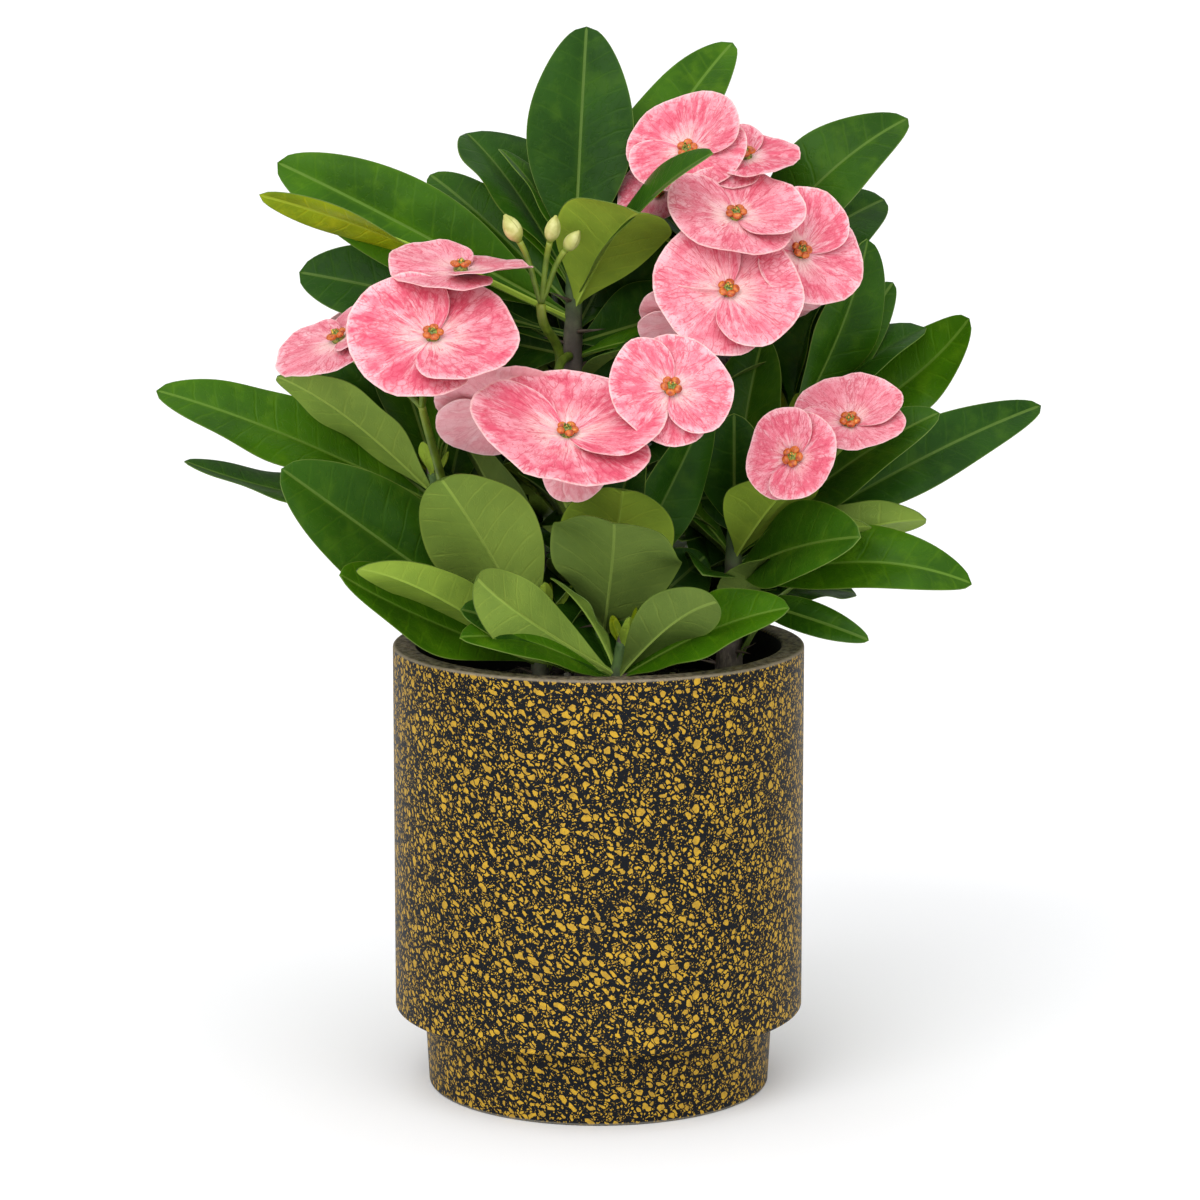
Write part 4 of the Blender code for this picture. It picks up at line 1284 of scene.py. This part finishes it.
def add_spray_stalks(shape, twig, along, azimuth, fork, flowers):
    root, way = beside(twig, along, azimuth)
    fork = place(*fork)
    rise = (fork - root).normalized()
    stem = bezier(root - way * 0.0008, way, fork, rise, 18)
    add_tube(shape, stem, 10, lambda share, length, angle: STALK_RADIUS * (1.5 - 0.3 * share))
    for index, flower in enumerate(flowers):
        start = fork - rise * (0.0008 + 0.0005 * index)
        fan = (rise + (flower.centre - fork).normalized()).normalized()
        ray = bezier(start, fan, flower.centre, flower.facing, 14)
        add_tube(shape, ray, 10, lambda share, length, angle: STALK_RADIUS * (0.95 + 0.5 * share ** 6))


# Sizes and colours that a user would change


def colour_setting(name, words, default):
    return bpy.props.FloatVectorProperty(
        name=name, description=words, default=default, min=0.0, max=1.0, subtype="COLOR")


class PlantLooks(bpy.types.PropertyGroup):
    chip_size: bpy.props.FloatProperty(
        name="Chip size", description="Width of the planter's largest chips", default=0.0036, min=0.001,
        unit="LENGTH", precision=4)
    vein_spacing: bpy.props.FloatProperty(
        name="Vein spacing", description="Distance between a leaf's side veins", default=0.0074, min=0.002,
        unit="LENGTH", precision=4)
    thorn_lengths: bpy.props.FloatVectorProperty(
        name="Thorn lengths", description="Shortest and longest thorn", default=(0.0045, 0.0105), size=2,
        unit="LENGTH", precision=4)
    ground: colour_setting("Planter ground", "Dark colour of the planter", (0.004, 0.0045, 0.006))
    gold: colour_setting("Planter chips", "Colour of the planter's chips", (0.54, 0.325, 0.028))
    deep_green: colour_setting("Deep green", "Upper face of the old leaves", (0.020, 0.073, 0.004))
    plain_green: colour_setting("Plain green", "Upper face of the leaves", (0.027, 0.090, 0.003))
    fresh_green: colour_setting("Fresh green", "Upper face of the bright leaves", (0.041, 0.126, 0.002))
    young_green: colour_setting("Young green", "Upper face of the young leaves", (0.235, 0.315, 0.006))
    deep_underside: colour_setting("Deep underside", "Lower face of the old leaves", (0.130, 0.195, 0.036))
    plain_underside: colour_setting("Plain underside", "Lower face of the leaves", (0.235, 0.345, 0.054))
    fresh_underside: colour_setting("Fresh underside", "Lower face of the bright leaves", (0.310, 0.450, 0.056))
    young_underside: colour_setting("Young underside", "Lower face of the young leaves", (0.320, 0.455, 0.045))
    rib: colour_setting("Rib", "Midribs of the leaves", (0.30, 0.39, 0.08))
    pink: colour_setting("Pink", "Main colour of the bracts", (0.70, 0.105, 0.175))
    pale_pink: colour_setting("Pale pink", "Light areas of the bracts", (0.84, 0.455, 0.510))
    cream: colour_setting("Cream", "Blotches and rims of the bracts", (0.90, 0.67, 0.62))
    vein_pink: colour_setting("Vein pink", "Veins of the bracts", (0.55, 0.030, 0.075))
    bark: colour_setting("Bark", "Trunk and boughs", (0.15, 0.125, 0.10))
    stalk: colour_setting("Stalks", "Flower stalks", (0.145, 0.225, 0.014))


# Pieces


class PLANT_OT_planter(bpy.types.Operator):
    """Turn the footed planter and speckle it"""

    bl_idname = "plant.planter"
    bl_label = "Planter"

    steps: bpy.props.IntProperty(name="Steps", description="Sides of the turned shape", default=192, min=24)

    def execute(self, context):
        radius = POT_HIGH.x
        inner = radius - 0.0078
        floor = 0.009
        foot = 0.027
        bore = 0.0507
        profile = (
            (0.0, floor),
            (bore, floor),
            (bore, foot + 0.0078),
            (inner, foot + 0.0078),
            (inner, POT_HIGH.z),
            (radius, POT_HIGH.z),
            (radius, foot),
            (0.060, foot),
            (0.0585, 0.0),
            (0.0, 0.0),
        )
        shape = bmesh.new()
        verts = [shape.verts.new((across, 0.0, height)) for across, height in profile]
        edges = [shape.edges.new(pair) for pair in zip(verts, verts[1:])]
        bmesh.ops.spin(
            shape, geom=verts + edges, cent=(0, 0, 0), axis=(0, 0, 1), angle=math.tau, steps=self.steps,
            use_merge=True, use_duplicate=False)
        bmesh.ops.remove_doubles(shape, verts=shape.verts, dist=WELD)
        bmesh.ops.recalc_face_normals(shape, faces=shape.faces)
        corners = [edge for edge in shape.edges if edge.calc_face_angle(0) > math.radians(40)]
        bmesh.ops.bevel(
            shape, geom=corners, offset=0.0009, offset_type="OFFSET", segments=4, profile=0.5,
            affect="EDGES", material=-1, clamp_overlap=True)
        cuts = [POT_LOW.z + 0.03 + 0.012 * index for index in range(10)]
        for height in cuts:
            whole = shape.verts[:] + shape.edges[:] + shape.faces[:]
            bmesh.ops.bisect_plane(shape, geom=whole, plane_co=(0, 0, height), plane_no=(0, 0, 1))
        finish_piece("planter", shape, [speckle_finish()], ("pot",), 35)
        return {"FINISHED"}


class PLANT_OT_potting_mix(bpy.types.Operator):
    """Fill the planter with crumbly potting mix"""

    bl_idname = "plant.potting_mix"
    bl_label = "Potting mix"

    crumbs: bpy.props.IntProperty(name="Crumbs", description="Loose crumbs on top", default=420, min=0)

    def execute(self, context):
        radius = MIX_HIGH.x
        rows = 26
        bed = grid(96, rows)
        bed.verts.layers.float_vector.new("limb")
        for vert in bed.verts:
            angle = vert.co.x * math.tau
            row = round(vert.co.y * rows)
            reach = radius * min((rows - row) / (rows - 4), 1.0) if row > 1 else radius * row
            spot = Vector((math.cos(angle) * reach, math.sin(angle) * reach, 0.0))
            lump = noise.noise(spot * 130) * 0.0012 + noise.noise(spot * 420) * 0.0006
            height = MIX_HIGH.z - 0.0012 + lump if row > 3 else MIX_HIGH.z - 0.012
            vert.co = (spot.x, spot.y, height)
        shape = new_shape("limb")
        absorb(shape, bed)
        bmesh.ops.recalc_face_normals(shape, faces=shape.faces)
        draw = random.Random(41)
        for index in range(self.crumbs):
            angle = draw.uniform(0, math.tau)
            reach = (radius - 0.003) * math.sqrt(draw.random())
            size = draw.uniform(0.0007, 0.0021)
            part = bmesh.new()
            part.verts.layers.float_vector.new("limb")
            bmesh.ops.create_icosphere(part, subdivisions=1, radius=size)
            for vert in part.verts:
                vert.co *= draw.uniform(0.7, 1.2)
                vert.co.z *= 0.7
            spot = Vector((math.cos(angle) * reach, math.sin(angle) * reach, MIX_HIGH.z - 0.0006 + size * 0.2))
            bmesh.ops.translate(part, verts=part.verts, vec=spot)
            for face in part.faces:
                face.material_index = 1 if index % 9 == 0 else 0
            absorb(shape, part)
        finish_piece("potting_mix_bed", shape, [mix_finish(), grit_finish()], ("potting_mix",), 50)
        return {"FINISHED"}


class PLANT_OT_limbs(bpy.types.Operator):
    """Give the trunk, boughs and stems their bark"""

    bl_idname = "plant.limbs"
    bl_label = "Trunk and boughs"

    def execute(self, context):
        twigs, tips = plan_twigs()
        shape = new_shape("limb")
        for seed, (points, root_radius, tip_radius) in enumerate(plan_limbs(tips)):
            flare = 0.18 if seed else 0.30
            add_tube(shape, points, BARK_SIDES, bark_radius(root_radius, tip_radius, flare, seed))
        names = ["trunk", "bough_top"] + [row[0] for row in BOUGHS + STEMS]
        finish_piece("limbs", shape, [bark_finish()], names)
        return {"FINISHED"}


class PLANT_OT_twigs(bpy.types.Operator):
    """Grow the green-tipped twigs that carry the leaves"""

    bl_idname = "plant.twigs"
    bl_label = "Twigs"

    def execute(self, context):
        twigs, tips = plan_twigs()
        shape = new_shape("limb")
        every = [twig for name, rows in MASSES for twig in twigs[name]]
        for seed, twig in enumerate(every):
            up = (twig.tip - twig.root).normalized()
            start = twig.root - up * 0.0015
            count = steps_for(start, twig.tip, 0.0015)
            points = [start.lerp(twig.tip, step / count) for step in range(count + 1)]
            add_tube(shape, points, 20, bark_radius(twig.root_radius, twig.tip_radius, 0.1, seed + 20))
            turn = up.to_track_quat("Z", "Y").to_matrix()
            size = twig.tip_radius
            add_ball(shape, twig.tip, (size * 0.9, size * 0.9, size * 1.6), turn, 14, 8)
        finish_piece("twigs", shape, [twig_finish()])
        return {"FINISHED"}


class PLANT_OT_thorns(bpy.types.Operator):
    """Set thorns in pairs along the limbs and twigs"""

    bl_idname = "plant.thorns"
    bl_label = "Thorns"

    spacing: bpy.props.FloatProperty(
        name="Spacing", description="Distance between two pairs", default=0.0060, min=0.002, unit="LENGTH")

    def execute(self, context):
        twigs, tips = plan_twigs()
        shape = new_shape("limb")
        draw = random.Random(17)
        for points, root_radius, tip_radius in plan_limbs(tips):
            add_thorns(shape, points, root_radius, tip_radius, self.spacing, draw, 0.008)
        for name, rows in MASSES:
            for twig in twigs[name]:
                points = [limb_point(twig, step / 20) for step in range(21)]
                add_thorns(shape, points, twig.root_radius, twig.tip_radius, self.spacing, draw, 0.003)
        finish_piece("thorns", shape, [thorn_finish()])
        return {"FINISHED"}


class PLANT_OT_foliage(bpy.types.Operator):
    """Grow each leaf mass again with veined, folded blades"""

    bl_idname = "plant.foliage"
    bl_label = "Foliage"

    def execute(self, context):
        twigs, tips = plan_twigs()
        template = sheet(LEAF_COLUMNS, LEAF_ROWS, "blade", blade_part)
        small = sheet(YOUNG_COLUMNS, YOUNG_ROWS, "blade", blade_part)
        materials = [upper_face(tone) for tone in TONES] + [lower_face(tone) for tone in TONES]
        materials += [rib_finish(side, tone) for side in ("upper", "lower") for tone in TONES]
        materials.append(rim_finish())
        for seed, (name, rows) in enumerate(MASSES):
            shape = new_shape("blade")
            leaves = grown_leaves(name, rows, twigs[name], random.Random(seed))
            draw = random.Random(100 + seed)
            for tone, leaf in leaves:
                wave = Wave(draw.uniform(0.04, 0.13), draw.uniform(1.2, 2.6), draw.uniform(0, math.tau))
                add_leaf(shape, template, leaf, wave, blade_slots(tone))
            for twig in twigs[name]:
                for leaf in young_leaves(twig, draw):
                    add_leaf(shape, small, leaf, Wave(0.05, 1.0, 0.0), blade_slots("young"))
            piece = name.replace("leaves", "foliage")
            finish_piece(piece, shape, materials, (name,), 70)
        shape = new_shape("blade")
        draw = random.Random(301)
        lines = [points for points, root_radius, tip_radius in plan_limbs(tips)]
        for name in ("leaves_front", "leaves_mid_left"):
            lines += [[limb_point(twig, step / 30) for step in range(31)] for twig in twigs[name]]
        for root, tip, width, roll in FILLERS:
            way = place(*tip) - place(*root)
            along, face, side = leaf_frame(way, math.radians(roll))
            leaf = Leaf(place(*root), along, face, side, way.length, width * MM, 0.06, 0.0, LEAF_SHOULDER)
            add_leaf(shape, small, leaf, Wave(0.06, 1.4, 1.0), blade_slots("deep"))
        for points in lines:
            for leaf in inner_leaves(points, draw):
                wave = Wave(0.06, 1.4, draw.uniform(0, math.tau))
                if leaf.root.y + leaf.along.y * leaf.length > INNER_FRONT:
                    add_leaf(shape, small, leaf, wave, blade_slots("deep"))
        finish_piece("foliage_inner", shape, materials, (), 70)
        return {"FINISHED"}


class PLANT_OT_bracts(bpy.types.Operator):
    """Open the pink bracts, two to a flower"""

    bl_idname = "plant.bracts"
    bl_label = "Bracts"

    def execute(self, context):
        template = sheet(BRACT_COLUMNS, BRACT_ROWS, "petal", bract_part)
        materials = [bract_face("upper"), bract_face("lower"), bract_face("rim")]
        draw = random.Random(7)
        number = 0
        for name, mass, along, azimuth, fork, rows in SPRAYS:
            shape = new_shape("petal")
            for flower in spray_flowers(rows):
                phase = draw.uniform(0, math.tau)
                for half in (1, -1):
                    number += 1
                    add_bract(shape, template, flower, half, phase, number)
            finish_piece(name.replace("blossom", "bracts"), shape, materials, (name,), 70)
        return {"FINISHED"}


class PLANT_OT_flower_hearts(bpy.types.Operator):
    """Set the cup with its five glands between each flower's bracts"""

    bl_idname = "plant.flower_hearts"
    bl_label = "Flower hearts"

    def execute(self, context):
        shape = new_shape("limb")
        draw = random.Random(23)
        for name, mass, along, azimuth, fork, rows in SPRAYS:
            for flower in spray_flowers(rows):
                add_flower_heart(shape, flower, draw)
        finish_piece("flower_hearts", shape, [gland_finish(), heart_finish(), pollen_finish()])
        return {"FINISHED"}


class PLANT_OT_stalks(bpy.types.Operator):
    """Draw the flower stalks from the twigs to the flowers"""

    bl_idname = "plant.stalks"
    bl_label = "Flower stalks"

    def execute(self, context):
        twigs, tips = plan_twigs()
        shape = new_shape("limb")
        for name, mass, along, azimuth, fork, rows in SPRAYS:
            add_spray_stalks(shape, twigs[mass][0], along, azimuth, fork, spray_flowers(rows))
        finish_piece("flower_stalks", shape, [stalk_finish()])
        return {"FINISHED"}


class PLANT_OT_buds(bpy.types.Operator):
    """Add the pale buds on their own stalks"""

    bl_idname = "plant.buds"
    bl_label = "Buds"

    def execute(self, context):
        stalks = new_shape("limb")
        shape = new_shape("limb")
        for fork, rows in BUDS:
            fork = place(*fork)
            twig_foot = fork - Vector((-0.006, -0.016, 0.022))
            add_tube(stalks, bezier(twig_foot, UP, fork, UP, 10), 10, lambda share, length, angle: 0.0016)
            for foot, length, radius in rows:
                foot = place(*foot)
                way = (foot - fork).normalized()
                lean = (way + Vector((way.x, way.y, 0.0)) * 0.6).normalized()
                neck = bezier(fork, way, foot, lean, 8)
                add_tube(stalks, neck, 10, lambda share, length, angle: 0.0009 + 0.0002 * share ** 3)
                tip = foot + lean * length * MM
                points = [foot.lerp(tip, step / 16) for step in range(17)]
                widest = radius * MM

                def radius_at(share, run, angle, widest=widest):
                    swell = math.sin(math.pi * min(share, 0.999) ** 0.85) ** 0.7
                    return widest * max(swell, 0.36 - 0.18 * share) * (1 + 0.08 * math.cos(2 * angle) * share)

                add_tube(shape, points, 18, radius_at)
        finish_piece("bud_stalks", stalks, [stalk_finish()])
        finish_piece("buds", shape, [bud_finish()])
        return {"FINISHED"}


class PLANT_OT_stage(bpy.types.Operator):
    """Set the pale floor, the soft lights and the camera"""

    bl_idname = "plant.stage"
    bl_label = "Stage"

    def execute(self, context):
        shape = bmesh.new()
        bmesh.ops.create_grid(shape, x_segments=1, y_segments=1, size=60.0)
        mesh = bpy.data.meshes.new("floor")
        shape.to_mesh(mesh)
        shape.free()
        floor_finish = Finish("floor", Roughness=0.9)
        floor_finish.shader.inputs["Specular IOR Level"].default_value = 0.1
        cloud = floor_finish.noise(0.5, 2.0)
        floor_finish.feed("Base Color", floor_finish.mix(cloud, (0.955, 0.96, 0.975), (0.965, 0.97, 0.985)))
        mesh.materials.append(floor_finish.material)
        floor = bpy.data.objects.new("floor", mesh)
        context.scene.collection.objects.link(floor)
        world = bpy.data.worlds.new("studio")
        context.scene.world = world
        world.use_nodes = True
        backdrop = world.node_tree.nodes["Background"]
        backdrop.inputs["Color"].default_value = (1.0, 1.0, 1.0, 1.0)
        backdrop.inputs["Strength"].default_value = 0.50
        lamps = (
            ("top", (-0.2, -0.4, 3.0), 1.2, 85),
            ("left", (-1.0, -2.0, 1.3), 1.6, 50),
            ("right", (1.2, -1.8, 0.9), 0.8, 60),
        )
        for name, where, strength, spread in lamps:
            light = bpy.data.lights.new(name, "SUN")
            light.energy = strength
            light.angle = math.radians(spread)
            lamp = bpy.data.objects.new(name, light)
            lamp.rotation_euler = (-Vector(where)).to_track_quat("-Z", "Y").to_euler()
            context.scene.collection.objects.link(lamp)
        camera = bpy.data.objects.new("camera", bpy.data.cameras.new("camera"))
        camera.data.lens = 119.07
        camera.location = (0.0005, -1.330, 0.393)
        camera.rotation_euler = (math.radians(90 - 9.62), 0.0, 0.0)
        context.scene.collection.objects.link(camera)
        context.scene.camera = camera
        context.scene.view_settings.view_transform = "Standard"
        return {"FINISHED"}


class PLANT_PT_panel(bpy.types.Panel):
    """Lists the pieces in the 3D view's sidebar"""

    bl_idname = "PLANT_PT_panel"
    bl_label = "Crown of Thorns"
    bl_space_type = "VIEW_3D"
    bl_region_type = "UI"
    bl_category = "Plant"

    def draw(self, context):
        for operator in OPERATORS:
            self.layout.operator(operator.bl_idname)
        for setting in PlantLooks.__annotations__:
            self.layout.prop(context.scene.plant_looks, setting)


OPERATORS = (
    PLANT_OT_planter,
    PLANT_OT_potting_mix,
    PLANT_OT_limbs,
    PLANT_OT_twigs,
    PLANT_OT_thorns,
    PLANT_OT_foliage,
    PLANT_OT_bracts,
    PLANT_OT_flower_hearts,
    PLANT_OT_stalks,
    PLANT_OT_buds,
    PLANT_OT_stage,
)
CLASSES = (PlantLooks, *OPERATORS, PLANT_PT_panel)


def register():
    for each in CLASSES:
        bpy.utils.register_class(each)
    bpy.types.Scene.plant_looks = bpy.props.PointerProperty(type=PlantLooks)


def unregister():
    del bpy.types.Scene.plant_looks
    for each in reversed(CLASSES):
        bpy.utils.unregister_class(each)


def main():
    register()
    bpy.ops.plant.planter()
    bpy.ops.plant.potting_mix()
    bpy.ops.plant.limbs()
    bpy.ops.plant.twigs()
    bpy.ops.plant.thorns()
    bpy.ops.plant.foliage()
    bpy.ops.plant.bracts()
    bpy.ops.plant.flower_hearts()
    bpy.ops.plant.stalks()
    bpy.ops.plant.buds()
    bpy.ops.plant.stage()
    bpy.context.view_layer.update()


if __name__ == "__main__":
    main()
